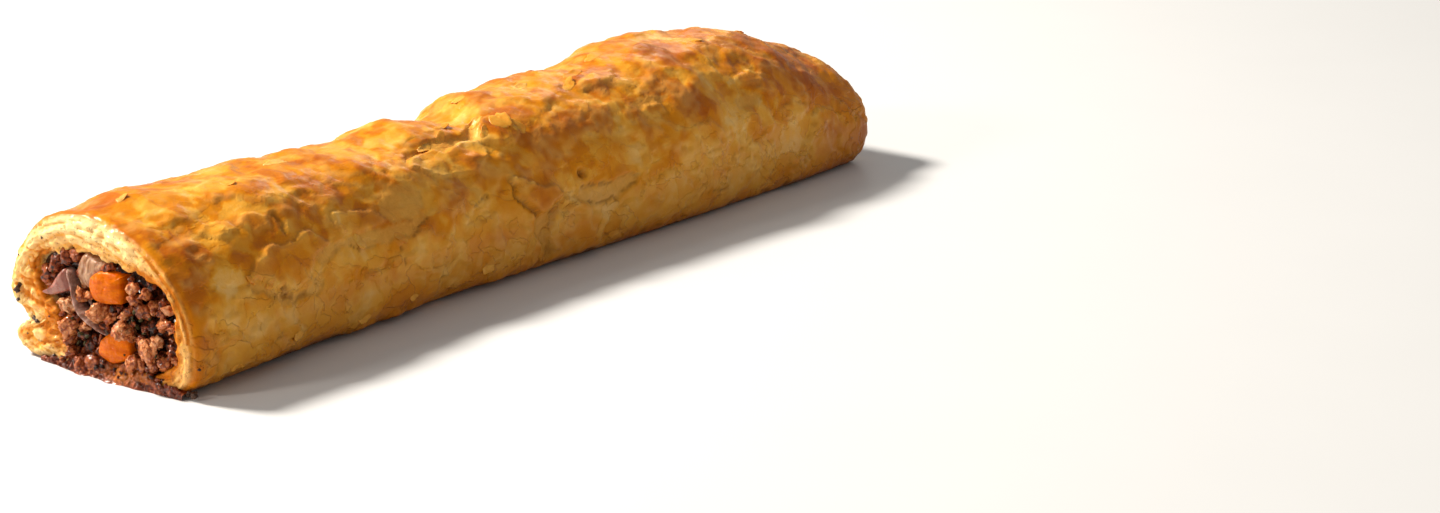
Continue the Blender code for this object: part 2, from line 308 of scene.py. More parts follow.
def face_y(end, depth, angle):
    """The y of a cut face at a share in from the skin, round the roll."""
    rows = np.array([np.interp(angle, ray_angles, row, period=2 * math.pi) for row in FACES[end]])
    place = np.clip((depth - FACE_DEPTHS[0]) / (FACE_DEPTHS[1] - FACE_DEPTHS[0]), 0, len(rows) - 1.001)
    row = np.floor(place).astype(int)
    column = np.arange(len(angle))
    return rows[row, column] * (1 - place + row) + rows[row + 1, column] * (place - row)


print("near face at y", np.round(FACES["near"].mean(), 1), "far face at y", np.round(FACES["far"].mean(), 1))

# %% Rings from one hole, along the skin, to the other hole
SKIN_ROWS = 376
RIM_ROWS = {"near": 32, "far": 13}
TUNNEL_DEPTHS_MM = (9.0, 4.0, 2.4)
LIP_MM = 1.1  # how far the hole's edge turns in


def ring(y, reach):
    x, z = HEART_X + reach * np.cos(ANGLES), HEART_Z + reach * np.sin(ANGLES)
    return np.stack([x, np.full(AROUND, 1.0) * y, z], axis=1)


def rim_ring(end, share):
    """A ring on a cut face. Share 0 is where the skin starts to turn over, and 1 is the edge of the hole."""
    inward = 1.0 if end == "near" else -1.0
    flat = face_y(end, np.full(AROUND, share), ANGLES)
    skin = read_grid(SKIN_GRID, flat + inward * EDGE_ROUND_MM, ANGLES)
    hole = hole_reach(flat + inward * 3.0, ANGLES)
    wall = skin - hole
    corner = np.clip(1 - share * wall / EDGE_ROUND_MM, 0.0, 1.0)
    turned = EDGE_ROUND_MM * (1 - np.sqrt(1 - corner**2))
    inner = np.clip(1 - (1 - share) * wall / LIP_MM, 0.0, 1.0)
    rolled = LIP_MM * (1 - np.sqrt(1 - np.minimum(inner, 0.98) ** 2))
    return ring(flat + inward * (turned + rolled), skin - wall * share)


def build_rings():
    """All the rings in order, with each row's zone and its share across the rim (or along the skin)."""
    rings, zones, shares = [], [], []
    near_edge = face_y("near", np.full(AROUND, 0.0), ANGLES) + EDGE_ROUND_MM
    far_edge = face_y("far", np.full(AROUND, 0.0), ANGLES) - EDGE_ROUND_MM
    for depth in TUNNEL_DEPTHS_MM:
        y = face_y("near", np.full(AROUND, 0.9), ANGLES) + depth
        rings.append(ring(y, hole_reach(y, ANGLES)))
        zones.append("tunnel")
        shares.append(0.0)
    for share in np.linspace(1, 0, RIM_ROWS["near"], endpoint=False):
        rings.append(rim_ring("near", share))
        zones.append("near")
        shares.append(share)
    for share in np.linspace(0, 1, SKIN_ROWS):
        y = near_edge + (far_edge - near_edge) * (share - 0.02 * math.sin(2 * math.pi * share) / math.pi)
        rings.append(ring(y, read_grid(SKIN_GRID, y, ANGLES)))
        zones.append("skin")
        shares.append(share)
    for share in np.linspace(0, 1, RIM_ROWS["far"] + 1)[1:]:
        rings.append(rim_ring("far", share))
        zones.append("far")
        shares.append(share)
    for depth in TUNNEL_DEPTHS_MM[::-1]:
        y = face_y("far", np.full(AROUND, 0.9), ANGLES) - depth
        rings.append(ring(y, hole_reach(y, ANGLES)))
        zones.append("tunnel")
        shares.append(0.0)
    for y in np.linspace(0.5, -0.5, 5) * (BOX_HIGH[1] - BOX_LOW[1] - 30.0):
        rings.append(ring(y, hole_reach(y, ANGLES)))
        zones.append("tunnel")
        shares.append(0.0)
    return np.array(rings), np.array(zones), np.array(shares)


PLAIN, ZONES, SHARES = build_rings()
print("crust grid:", PLAIN.shape[:2], "about", PLAIN.shape[0] * PLAIN.shape[1] * 2, "triangles")

# %% [markdown]
# ## Relief of the crust
# Puff pastry is hundreds of thin sheets. In the oven they part: some puff up as blisters, some tear and show
# the paler sheet below, and the edges stand as low ragged steps. Painting that as bump would look flat from
# the side, so it is real relief in the grid. Broad things that we can point at, such as a long tear, have a
# named place: millimetres from the near cut, and degrees round it from the right side over the top.

# %% Distances on the crust to named places
NEAR_CUT_Y = BOX_LOW[1] + 0.3
ALONG = PLAIN[..., 1] - NEAR_CUT_Y
DEGREES = np.broadcast_to(np.degrees(ANGLES), ALONG.shape)
MM_PER_DEGREE = 0.42
IN_SKIN = np.broadcast_to((ZONES == "skin")[:, None], ALONG.shape)
WOBBLE_ALONG = layered_noise(PLAIN, 5.0, 5, 3) + 0.7 * layered_noise(PLAIN, 1.6, 7, 2)
WOBBLE_ROUND = layered_noise(PLAIN + 40.0, 5.0, 6, 3) + 0.7 * layered_noise(PLAIN, 1.6, 8, 2)


def on_crust(y, degrees, wobble=0.0):
    """Millimetres along and round to a named place, bent by noise so that no outline is plain."""
    around = ((DEGREES - degrees + 180.0) % 360.0 - 180.0) * MM_PER_DEGREE
    return ALONG - y + wobble * WOBBLE_ALONG, around + wobble * WOBBLE_ROUND


def patch(y, degrees, half_length, half_width, tilt=0.0, wobble=1.2, soft=0.5):
    """1 inside a ragged oval patch and 0 outside; tilt turns it, in degrees."""
    along, around = on_crust(y, degrees, wobble)
    turn = math.radians(tilt)
    across = (around * math.cos(turn) - along * math.sin(turn)) / half_width
    length = (along * math.cos(turn) + around * math.sin(turn)) / half_length
    return 1 - step_up(np.hypot(length, across), 1 - soft, 1 + 0.4 * soft)


def line_distance(places, wobble=0.6, closed=False):
    """Millimetres to a crooked line through named places on the crust."""
    nearest = np.full(ALONG.shape, 99.0)
    ends = places[1:] + places[:1] if closed else places[1:]
    for (y0, turn0), (y1, turn1) in zip(places, ends):
        along, around = on_crust(y0, turn0, wobble)
        step = np.array([y1 - y0, (turn1 - turn0) * MM_PER_DEGREE])
        share = np.clip((along * step[0] + around * step[1]) / (step**2).sum(), 0.0, 1.0)
        nearest = np.minimum(nearest, np.hypot(along - share * step[0], around - share * step[1]))
    return nearest


def outline_depth(places, wobble=0.6):
    """Millimetres in from a ragged closed outline through named places: negative outside it."""
    inside = np.zeros(ALONG.shape, bool)
    for (y0, turn0), (y1, turn1) in zip(places, places[1:] + places[:1]):
        along, around = on_crust(y0, turn0, wobble)
        rise = (turn1 - turn0) * MM_PER_DEGREE
        crosses = (around > 0) != (around > rise)
        inside ^= crosses & (along < around * (y1 - y0) / (rise if rise else 1e-9))
    return line_distance(places, wobble, closed=True) * np.where(inside, 1.0, -1.0)


print("crust point to point, mm:", round(float(np.diff(ALONG[ZONES == "skin"], axis=0).mean()), 2))

# %% Torn places, raised flakes and cracks
# Each torn place is an outline of (y, degrees), with its depth in mm.
TEARS = (
    (((17, 20), (20, 18), (22.5, 13), (24.5, 11), (26, 13.5), (27.5, 8), (31, 6.5), (34, 9), (37.5, 17),
      (37, 8), (35.5, 3), (32, 3), (29, 3.5), (26.5, 2), (23.5, 4), (22.5, 9), (20, 12), (17.5, 14)), 0.35),
    (((36, 23.5), (38.5, 26.5), (43, 25.5), (47, 27.5), (53, 27.5), (59, 25), (65, 25), (68, 28),
      (66, 20), (62.5, 15.5), (58, 18), (56.5, 15.5), (51, 16.5), (47, 20), (45, 22), (42, 19.5),
      (37.5, 17), (36.5, 20)), 0.4),
    (((58, 49), (63, 48.5), (67.5, 47), (69.5, 40), (69, 32), (68, 28), (65, 25), (59, 25),
      (57, 34), (58.5, 42)), 0.3),
    (((112.5, 14), (115, 13.5), (118, 11.5), (121, 11), (123, 12), (127, 13), (131, 12), (129, 8),
      (126.5, 5), (124.5, 3.5), (122.5, 0), (121, 2.5), (119.5, 0.5), (117.5, 1), (114.5, 3), (112, 4), (111, 8)), 0.5),
    (((71, 62), (74, 69), (78, 71), (83, 75), (88, 73), (92, 71), (96, 80), (98, 78), (95, 70),
      (93, 63), (89.5, 66), (86, 64), (83.5, 61), (81, 67), (78, 67.5), (74, 64)), 0.5),
    (((98.5, 4), (101.5, 6), (104, 8), (106.5, 11), (105, 6), (103.5, 2), (102.5, -3), (101, -5), (101.5, -10),
      (102, -16), (103.5, -23), (101.5, -24), (100, -17), (98.5, -9), (97.5, -4)), 0.9),
    (((167, 34), (173, 36), (177, 31), (173, 27), (168, 28)), 0.3),
    (((137, 52), (143, 55), (149, 49), (144, 44), (138, 46)), 0.25),
    (((41, 160), (49, 163), (58, 158), (61, 150), (53, 146), (46, 151)), 0.55),
    (((89, 146), (97, 150), (104, 144), (101, 134), (94, 132), (88, 138)), 0.5),
    (((133, 164), (143, 167), (152, 161), (148, 152), (138, 154)), 0.6),
    (((173, 144), (180, 146), (185, 139), (179, 131), (173, 136)), 0.5),
)
# Each flake is an outline of (y, degrees), with its thickness and how far its edge curls up, in mm.
FLAKES = (
    (((18, 22), (21, 27.5), (25, 35.5), (30, 33), (37, 38), (41, 28), (36, 23), (33, 12), (28, 9),
      (24, 14), (21, 20)), 0.35, 0.3),
    (((45, 44), (50, 41), (56, 38), (58, 30), (53, 28), (47, 28.5), (44, 34)), 0.25, 0.25),
    (((94.5, 33), (95.5, 25), (96, 16), (98, 9), (100, 4.5), (102.5, 7), (105, 10.5), (107, 12.5), (106, 19),
      (102, 21), (98, 28)), 0.65, 0.3),
    (((94, 60), (95, 70), (99, 76), (104.5, 71.5), (103.5, 66), (103.5, 60), (104, 56), (101.5, 52), (98, 53),
      (96, 55)), 0.45, 0.5),
    (((71, 55), (74, 64), (78, 67.5), (81, 67), (83.5, 61), (86, 64), (89.5, 66), (93, 63), (94, 52),
      (87, 40), (77, 44)), 0.3, 0.3),
    (((104, 10), (107, 12), (111, 10), (111, 3), (109, -1), (105, 2)), 0.25, 0.15),
    (((128, 72), (132, 80), (138, 86), (143, 82), (141, 74), (134, 70)), 0.2, 0.1),
    (((138, 42), (140, 48), (144, 47), (145, 39), (141, 37)), 0.3, 0.2),
    (((14, 56), (17, 61), (21, 58), (22, 49), (17, 46)), 0.3, 0.0),
    (((22, 52), (26, 58), (30, 52), (29, 44), (24, 43)), 0.4, 0.0),
    (((149, 27), (156, 28), (159, 21), (156, 10), (150, 12)), 0.25, 0.15),
    (((171, 47), (177, 50), (182, 45), (177, 39), (171, 41)), 0.3, 0.25),
    (((180, 22), (187, 24), (193, 19), (189, 13), (181, 15)), 0.25, 0.2),
    (((161, 4), (169, 8), (177, 4), (174, -8), (165, -7)), 0.25, 0.15),
)
# Each crack is a line of (y, degrees), with its half width and depth in mm.
CRACKS = (
    (((93.5, 31), (94.6, 26), (93.4, 20), (95.5, 15), (96.5, 10), (98.8, 5)), 0.55, 0.9),
    (((20, -12), (22.5, -11), (24.5, -9)), 0.3, 0.5),
    (((58.5, 14), (59.5, 8), (59, 2)), 0.25, 0.3),
    (((82, 22), (84.5, 24), (86.5, 25)), 0.3, 0.4),
    (((152, -12), (156, -12), (159, -14)), 0.3, 0.45),
    (((113, 14), (116, 13), (119, 11.5), (122, 11)), 0.35, 0.6),
    (((114, 3.5), (117.5, 1.5), (119.5, 1), (121, 3), (122.5, 0.5)), 0.4, 0.7),
    (((124, 3.5), (126, 5.5), (129, 8)), 0.4, 0.6),
    (((25.5, 12), (24.5, 8), (27, 6.5)), 0.7, 0.6),
    (((28.5, 5), (31, 5.5)), 0.7, 0.6),
    (((46, 22), (48, 18.5)), 0.35, 0.4),
    (((63, 16), (65.5, 20), (67.5, 25)), 0.35, 0.4),
    (((31.2, 52), (31.8, 46), (31, 40)), 0.7, 0.5),
    (((125, 120), (133, 132), (137, 148)), 0.45, 0.6),
    (((19, 130), (27, 142), (31, 160)), 0.4, 0.5),
)
PIT = (114.0, 21.0, 1.2, 1.7)  # y, degrees, half width, depth
CLIFF_MM = 0.45
CURL_MM = 1.1
torn = np.zeros(ALONG.shape)
flake_edge = np.zeros(ALONG.shape)
flake_inside = np.zeros(ALONG.shape)
# painted_shade: dark colour painted just inside torn edges, just outside raised flakes, in cracks and in the pit, where
# shade falls
painted_shade = np.zeros(ALONG.shape)
sheet_steps = np.zeros(ALONG.shape)
grooves = np.zeros(ALONG.shape)
BROKEN = step_up(smooth_noise(PLAIN, 2.2, 57), -0.25, 0.35)
for places, depth in TEARS:
    inward = outline_depth(places)
    inside = step_up(inward, -0.15, CLIFF_MM)
    painted_shade = np.maximum(painted_shade, 0.5 * np.exp(-(((inward - 0.25) / 0.3) ** 2)) * BROKEN)
    torn = np.maximum(torn, inside)
    grooves = np.minimum(grooves, -1.35 * depth * inside)
for places, thickness, curl in FLAKES:
    inward = outline_depth(places)
    inside = step_up(inward, -0.1, CLIFF_MM)
    curled = 1.25 * thickness * inside + curl * inside * np.exp(-np.maximum(inward, 0) / CURL_MM)
    sheet_steps = np.maximum(sheet_steps, curled)
    flake_inside = np.maximum(flake_inside, inside)
    flake_edge = np.maximum(flake_edge, inside * np.exp(-np.maximum(inward, 0) / 0.7))
    painted_shade = np.maximum(painted_shade, 0.5 * np.exp(-(((inward + 0.35) / 0.25) ** 2)) * BROKEN)
for places, half_width, depth in CRACKS:
    groove = 1 - step_up(line_distance(places), 0.2 * half_width, 1.3 * half_width)
    grooves = np.minimum(grooves, -depth * groove)
    painted_shade = np.maximum(painted_shade, groove)
pit_along, pit_around = on_crust(PIT[0], PIT[1], 0.3)
pit = 1 - step_up(np.hypot(pit_along, pit_around), 0.3 * PIT[2], 1.3 * PIT[2])
grooves = np.minimum(grooves, -PIT[3] * pit)
painted_shade = np.maximum(painted_shade, pit)
print("torn share of the crust:", round(float(torn[IN_SKIN].mean()), 3))

# %% Blisters, swells and flaky sheets
UP = step_up(np.sin(ANGLES), -0.15, 0.75)[None, :] * np.ones(ALONG.shape)
warped = PLAIN + 1.8 * np.stack([layered_noise(PLAIN + 30.0 * k, 7.0, 40 + k) for k in range(3)], axis=-1)
near_cell, next_cell, cell_owner = cell_noise(warped * np.array([1.0, 0.8, 1.0]), 10.5, 3)
blister = step_up(next_cell - near_cell, 0.0, 0.5) * step_up(cell_owner, 0.25, 0.95)
small_near, small_next, small_owner = cell_noise(warped + 9.0, 4.6, 17)
small_blister = step_up(small_next - small_near, 0.0, 0.5) * step_up(small_owner, 0.45, 1.0)
swell = 0.5 * layered_noise(PLAIN, 14.0, 71) + 0.22 * smooth_noise(PLAIN, 6.0, 72)
# Sheets of pastry: how wide, how thick (mm), the level at which they start, and a seed
SHEETS = (
    (17.0, 0.34, 0.05, 81),
    (12.0, 0.28, 0.12, 82),
    (8.0, 0.12, 0.25, 83),
)
sheet_relief = np.zeros(ALONG.shape)
sheet_edge = np.zeros(ALONG.shape)
for size, thickness, level, seed in SHEETS:
    field = layered_noise(warped * np.array([1.0, 0.75, 1.0]), size, seed, 4)
    field += 0.12 * smooth_noise(PLAIN, 1.3, seed + 5)
    rise = step_up(field, level, level + 0.8 / size)
    sheet_relief += thickness * rise
    border = step_up(field, level, level + 0.3 / size)
    border *= 1 - step_up(field, level + 0.7 / size, level + 3.2 / size)
    sheet_edge = np.maximum(sheet_edge, border * thickness / 0.32)
crumble = 0.3 * layered_noise(PLAIN, 2.0, 93, 3) + 0.25 * (cell_noise(warped, 1.9, 95)[0] - 0.5)
crumble *= torn * (1 - 0.7 * UP)
ripple = 0.035 * layered_noise(PLAIN, 1.5, 91, 2)
foot_crumble = 0.4 * layered_noise(PLAIN, 1.9, 97, 3) * np.exp(-np.maximum(PLAIN[..., 2], 0.0) / 3.0)
pillow = 0.5 * smooth_noise(warped, 7.5, 74) + 0.15 * smooth_noise(warped, 3.4, 75)
skin_relief = swell * (0.4 + 0.5 * UP) + 0.5 * blister * (0.2 + 0.8 * UP)
skin_relief += (0.14 * small_blister + pillow) * UP
skin_relief += sheet_relief * (1.7 - 1.3 * UP) + ripple + foot_crumble
skin_relief = (skin_relief - 0.45) * (1 - 0.55 * torn) + sheet_steps + crumble + grooves
print("skin relief, mm:", np.round(np.percentile(skin_relief[IN_SKIN], [1, 50, 99]), 2))

# %% [markdown]
# ## The layered cut edge
# Where the knife went through, the pastry shows its layers edge-on: pale, fibrous lines that follow the skin,
# with the browned outer sheets standing a little apart. Noise that is stretched along the ring and squeezed
# across it gives those lines. The edge of the hole is ragged, and the meat's fat has stained it orange.

# %% Layers and fibres of the two cut faces
RIM_Y = np.full(AROUND, BOX_LOW[1] + 6.0)
WALL_MM = read_grid(SKIN_GRID, RIM_Y, ANGLES) - hole_reach(RIM_Y, ANGLES)
ROUND_MM = np.radians(DEGREES) * 24.0
IN_RIM = np.broadcast_to(np.isin(ZONES, ("near", "far"))[:, None], ALONG.shape)
DEPTH_MM = SHARES[:, None] * WALL_MM[None, :]
fibre_place = np.stack([ROUND_MM * 0.16, DEPTH_MM * 1.0, ALONG * 0.02 + 3.0], axis=-1)
fibres = layered_noise(fibre_place, 0.9, 131, 3)
layer_place = np.stack([ROUND_MM * 0.05, DEPTH_MM + 0.25 * layered_noise(PLAIN, 4.0, 133), ALONG * 0.02], axis=-1)
layers = smooth_noise(layer_place, 0.8, 135)
lip_gap_depth = 1.5 + 0.35 * smooth_noise(np.stack([ROUND_MM * 0.2, ALONG * 0.01, ALONG * 0.0], axis=-1), 1.0, 137)
lip_side = step_up(DEGREES, -20.0, 5.0) * (1 - step_up(DEGREES, 70.0, 105.0))
lip_gap = np.exp(-(((DEPTH_MM - lip_gap_depth) / 0.3) ** 2)) * lip_side
rim_left = step_up(DEGREES, 110.0, 140.0) * (1 - step_up(DEGREES, 240.0, 260.0))
shred_place = np.stack([ROUND_MM * 0.8, DEPTH_MM * 0.26, ALONG * 0.3], axis=-1)
shreds = layered_noise(shred_place, 1.1, 145, 3)
shaggy = (0.5 * shreds + 0.35 * layered_noise(PLAIN, 1.5, 141, 3) - 0.3 * np.abs(smooth_noise(PLAIN, 2.4, 143)))
shaggy *= rim_left
rim_relief = 0.4 * fibres + 0.3 * layers - 0.22 * lip_gap + 0.4 * layered_noise(PLAIN, 2.6, 139) + shaggy
crease = np.exp(-(((DEGREES - 156.0 + 7.0 * SHARES[:, None]) * MM_PER_DEGREE / 0.45) ** 2)) * IN_RIM
rim_relief -= 0.4 * crease
print("rim relief, mm:", np.round(np.percentile(rim_relief[IN_RIM], [1, 50, 99]), 2))


# %% From grid to crust
def grid_normals(points):
    along = np.roll(points, -1, axis=0) - np.roll(points, 1, axis=0)
    around = np.roll(points, -1, axis=1) - np.roll(points, 1, axis=1)
    normal = np.cross(around, along)
    normal /= np.maximum(np.linalg.norm(normal, axis=-1), 1e-9)[..., None]
    middle = np.array([HEART_X, 0.0, HEART_Z])
    outward = ((points - middle) * normal * np.array([1.0, 0.0, 1.0]))[ZONES == "skin"].sum()
    return normal * np.sign(outward)


def blended_relief():
    """Skin relief along the roll and rim relief on the faces, meeting at the turned edge."""
    across_edge = np.where(IN_RIM, np.exp(-DEPTH_MM / 1.2), 1.0)
    edge_fade = step_up(np.minimum(ALONG - ALONG.min(), ALONG.max() - ALONG), 0.0, 5.0)
    relief = np.where(IN_SKIN | IN_RIM, skin_relief * across_edge * (0.45 + 0.55 * edge_fade), 0.0)
    relief = relief + np.where(IN_RIM, rim_relief * (1 - across_edge), 0.0)
    resting = 1 - step_up(PLAIN[..., 2], 0.0, 2.5)
    return relief * (1 - resting)


NORMALS = grid_normals(PLAIN)
relief = blended_relief()
CRUST = PLAIN + NORMALS * relief[..., None]
ragged = np.where(IN_RIM, 0.55 * layered_noise(PLAIN, 3.0, 151) * step_up(SHARES[:, None], 0.6, 1.0), 0.0)
CRUST[..., 0] += ragged * np.cos(ANGLES)
CRUST[..., 2] += ragged * np.sin(ANGLES)
CRUST[..., 2] = np.maximum(CRUST[..., 2], 0.0)
print("crust box, mm:", np.round(CRUST.reshape(-1, 3).min(axis=0), 1), np.round(CRUST.reshape(-1, 3).max(axis=0), 1))


# %% Mesh helpers
def mesh_from(name, points_mm, faces, smooth=True):
    mesh = bpy.data.meshes.new(name)
    points = np.asarray(points_mm, np.float32).reshape(-1, 3) * MM
    faces = np.asarray(faces, np.int32)
    mesh.vertices.add(len(points))
    mesh.vertices.foreach_set("co", points.ravel())
    mesh.loops.add(faces.size)
    mesh.loops.foreach_set("vertex_index", faces.ravel())
    mesh.polygons.add(len(faces))
    mesh.polygons.foreach_set("loop_start", np.arange(len(faces), dtype=np.int32) * faces.shape[1])
    mesh.polygons.foreach_set("use_smooth", np.full(len(faces), smooth))
    mesh.update(calc_edges=True)
    made = bpy.data.objects.new(name, mesh)
    bpy.context.scene.collection.objects.link(made)
    return made


def paint(made, name, values):
    """Stores one number a point, for the material to read by name."""
    layer = made.data.attributes.new(name, "FLOAT", "POINT")
    layer.data.foreach_set("value", np.asarray(values, np.float32).ravel())


def torus_faces(rows, columns):
    row, column = np.meshgrid(np.arange(rows), np.arange(columns), indexing="ij")
    right, above = (column + 1) % columns, (row + 1) % rows
    corners = (row * columns + column, row * columns + right, above * columns + right, above * columns + column)
    return np.stack(corners, axis=-1).reshape(-1, 4)


def unroll(made, rows, columns):
    """A flat map of a grid that closes both ways, so that a picture of its finish wastes no room."""
    row, column = np.meshgrid(np.arange(rows), np.arange(columns), indexing="ij")
    across = np.stack([column, column + 1, column + 1, column], axis=-1) / columns
    upward = np.stack([row, row, row + 1, row + 1], axis=-1) / rows
    layer = made.data.uv_layers.new(name="OFBake")
    layer.uv.foreach_set("vector", np.stack([across, upward], axis=-1).astype(np.float32).ravel())


crust = mesh_from("pastry_crust", CRUST, torus_faces(*ALONG.shape))
unroll(crust, *ALONG.shape)
print("crust made:", len(crust.data.polygons), "faces")

# %% [markdown]
# ## Where the oven browned it
# A finish reads best when the browning follows the shape: blisters and the crest catch the most heat, hollows
# and tears stay pale, and the fold under the roll browns on the hot tray. So we work out a number a point, from
# 0 for raw dough to 1 for dark brown, and store it on the mesh. The material then only has to turn that number
# into colour and gloss. Some patches are plainly one thing, such as the dark crest, so those have places too.

# %% Browning, a number for each point
# Each patch is (y, degrees, half length, half width, tilt, how much browner); below zero is paler.
BROWNED = (
    (6, 84, 2.5, 4, 0, 0.12),
    (11, 32, 4.5, 1.6, 20, 0.1),
    (42, 100, 3.5, 2.6, 0, 0.24),
    (52, 93, 5, 3.6, 10, 0.24),
    (26, 74, 1.6, 3, 20, 0.2),
    (30, 22, 4.5, 4, 30, 0.2),
    (45, 0, 6.5, 3.6, 10, 0.24),
    (47, 8, 2.5, 2.2, 60, 0.2),
    (55, 5, 2.2, 3.6, 0, 0.2),
    (56, 32, 2, 2, 0, 0.14),
    (45, 58, 4, 3, 0, 0.1),
    (87, 0, 4, 3, 0, 0.14),
    (77, 106, 5, 3.5, 0, 0.14),
    (98, 42, 3.5, 3.2, 20, 0.18),
    (100, 14, 2.4, 3.4, 0, 0.12),
    (96, 62, 3, 2, 0, 0.1),
    (113, 66, 4.5, 4, -10, 0.2),
    (110, 50, 4, 3, 0, 0.14),
    (109, 101, 3, 4, 0, 0.18),
    (119, 22, 2.6, 2, 0, 0.18),
    (104, -12, 3.4, 2, 0, 0.16),
    (108, 6, 2, 1.6, 0, 0.1),
    (134, -5, 4, 3, 0, 0.12),
    (127, 32, 3, 3, 0, 0.08),
    (129, 92, 6, 2.5, 0, 0.12),
    (161, 82, 9, 6, 8, 0.5),
    (167, 74, 4, 3, 0, 0.2),
    (153, 92, 6, 3, 0, 0.15),
    (178, 57, 5, 1.9, 0, 0.5),
    (181, 72, 4.4, 1.6, 0, 0.3),
    (187, 48, 4, 3, 0, 0.16),
    (153, 42, 4, 3, 0, 0.12),
    (150, 15, 2.4, 4.4, 0, 0.16),
    (157, 12, 2, 2, 0, 0.1),
    (173, 10, 4.4, 4.4, 10, 0.22),
    (185, 26, 3, 2.4, 0, 0.16),
    (199, 2, 4.5, 3.4, 0, 0.22),
    (203, 20, 5, 4.4, 0, 0.2),
    (195, 58, 6, 3, 0, 0.16),
    (201, 48, 4, 3, 0, 0.16),
    (197, 100, 8, 4, 0, 0.18),
    (13, 22, 5, 5, 0, -0.16),
    (8, 8, 5, 4, 0, -0.1),
    (46, 40, 1.6, 2.6, 0, -0.2),
    (63, 8, 4, 3, 0, -0.1),
    (67, 92, 6, 4, 0, -0.1),
    (77, 40, 7, 4, 0, -0.06),
    (107, 20, 3, 2, 0, -0.14),
    (117, 44, 4, 3, 0, -0.1),
    (175, 30, 2, 1.6, 0, -0.2),
    (177, 45, 2.4, 1.8, 0, -0.2),
    (169, 45, 2.4, 1.4, 0, -0.16),
    (191, 22, 3.4, 1.4, -10, -0.16),
    (163, 22, 2, 2, 0, -0.14),
    # A paler patch standing in for a lit bump: painted highlight
    (157, 60, 3, 2.4, 0, -0.14),
    (193, 37, 3, 2, 0, -0.14),
    (204, 40, 3, 3, 0, -0.1),
    (37, 130, 8, 4, 0, 0.2),
    (77, 150, 7, 4, 10, 0.16),
    (117, 128, 8, 4, -10, 0.2),
    (157, 145, 7, 4, 0, 0.2),
    (193, 140, 7, 4, 0, 0.2),
    (17, 165, 6, 3, 0, 0.14),
)
bake = 0.23 + 0.31 * UP + 0.1 * layered_noise(PLAIN, 10.0, 201) + 0.04 * layered_noise(PLAIN, 2.6, 202, 2)
bake += 0.13 * blister * UP + 0.05 * small_blister * UP + 0.1 * np.clip(relief, -0.8, 0.9)
for y, degrees, half_length, half_width, tilt, browner in BROWNED:
    bake += browner * patch(y, degrees, half_length, half_width, tilt, 1.4, 0.7)
mosaic_near, mosaic_next, mosaic_owner = cell_noise(warped * np.array([1.0, 0.65, 1.0]), 6.5, 29)
bake += 0.13 * (mosaic_owner - 0.5) * step_up(mosaic_next - mosaic_near, 0.0, 0.1)
clotted = step_up(layered_noise(warped, 7.5, 207, 3), -0.12, 0.22) - 0.5
bake += (0.27 * UP + 0.04) * clotted
bake = bake * (1 - 0.3 * torn) + 0.03 * torn
# Pale edges of sheets and flakes: partly the paler layer showing there, partly a painted highlight on their lit rims
pale_edge_and_highlight = np.clip(sheet_edge * 0.55 + flake_edge * 0.8, 0.0, 1.0) * (1 - torn) * np.where(IN_SKIN, 1.0, 0.0)
pale_edge_and_highlight = blurred(pale_edge_and_highlight, 1)
bake -= 0.16 * pale_edge_and_highlight + 0.05 * flake_inside
edge_near = 1 - step_up(ALONG + 1.6 * WOBBLE_ALONG, 5.0, 11.0)
lower_right = step_up(DEGREES, 330.0, 350.0) + (1 - step_up(DEGREES, 25.0, 60.0)) * (DEGREES < 180.0)
bake += (0.06 + 0.26 * lower_right) * edge_near * (1 - torn)
bake += 0.5 * np.exp(-np.maximum(PLAIN[..., 2], 0.0) / 4.0) * (1 - 0.5 * torn)
bake += 0.26 * step_up(ALONG, 180.0, 206.0)
# Deep in a fold between two sheets the crust is darkened: painted shade
fold_near, fold_next, fold_owner = cell_noise(warped * np.array([1.0, 0.7, 1.0]), 8.0, 33)
fold = (1 - step_up(fold_next - fold_near, 0.0, 0.06)) * step_up(smooth_noise(PLAIN, 6.0, 58), 0.1, 0.5)
painted_shade = np.maximum(painted_shade, 0.22 * fold * (1 - UP))
# Painted shade is made stronger on the sides than on the lit top
painted_shade = np.clip(painted_shade * (1.3 - 0.5 * UP), 0.0, 1.0)
# The lower side is darkened where the lamps reach it less: painted shade
low_side_shade = (1 - UP) * (1 - step_up(PLAIN[..., 2] + 1.5 * WOBBLE_ALONG, 4.0, 19.0))
painted_shade = np.maximum(painted_shade, 0.42 * low_side_shade)
print("browning, from pale to dark:", np.round(np.percentile(bake[IN_SKIN], [2, 25, 50, 75, 98]), 2))

# %% Cut faces, stains and burnt specks
cut = np.where(IN_RIM, step_up(DEPTH_MM, 0.4, 1.6), 0.0)
cut = np.where((ZONES == "tunnel")[:, None], 1.0, cut)
fat = np.where(IN_RIM, step_up(SHARES[:, None] + 0.22 * layered_noise(PLAIN, 3.0, 211), 0.42, 0.95), 0.0)
left_side = step_up(DEGREES, 130.0, 160.0) * (1 - 0.75 * step_up(DEGREES, 195.0, 215.0))
left_side *= 1 - step_up(DEGREES, 225.0, 250.0)
stain = np.clip(fat * (0.5 + 0.35 * left_side) + 0.5 * np.where(IN_RIM, lip_gap, 0.0) + 0.5 * crease, 0, 1)
base_band = 1 - step_up(PLAIN[..., 2] + 0.8 * layered_noise(PLAIN, 3.0, 221), 0.6, 2.6)
char = 0.75 * base_band * step_up(layered_noise(PLAIN, 4.0, 222), -0.4, 0.5)
layer_line = np.where(IN_RIM, 0.5 + 0.45 * fibres + 0.5 * layers, 0.5)
right_side = step_up(DEGREES, 285.0, 330.0) + 1 - step_up(DEGREES, 40.0, 75.0)
streaks = step_up(layered_noise(PLAIN * np.array([1.0, 0.3, 1.0]), 2.6, 231), -0.3, 0.45)
sides = (0.06 + 0.3 * streaks + 0.75 * step_up(-shreds, 0.0, 0.5)) * left_side
sides += 0.6 * np.clip(right_side, 0, 1)
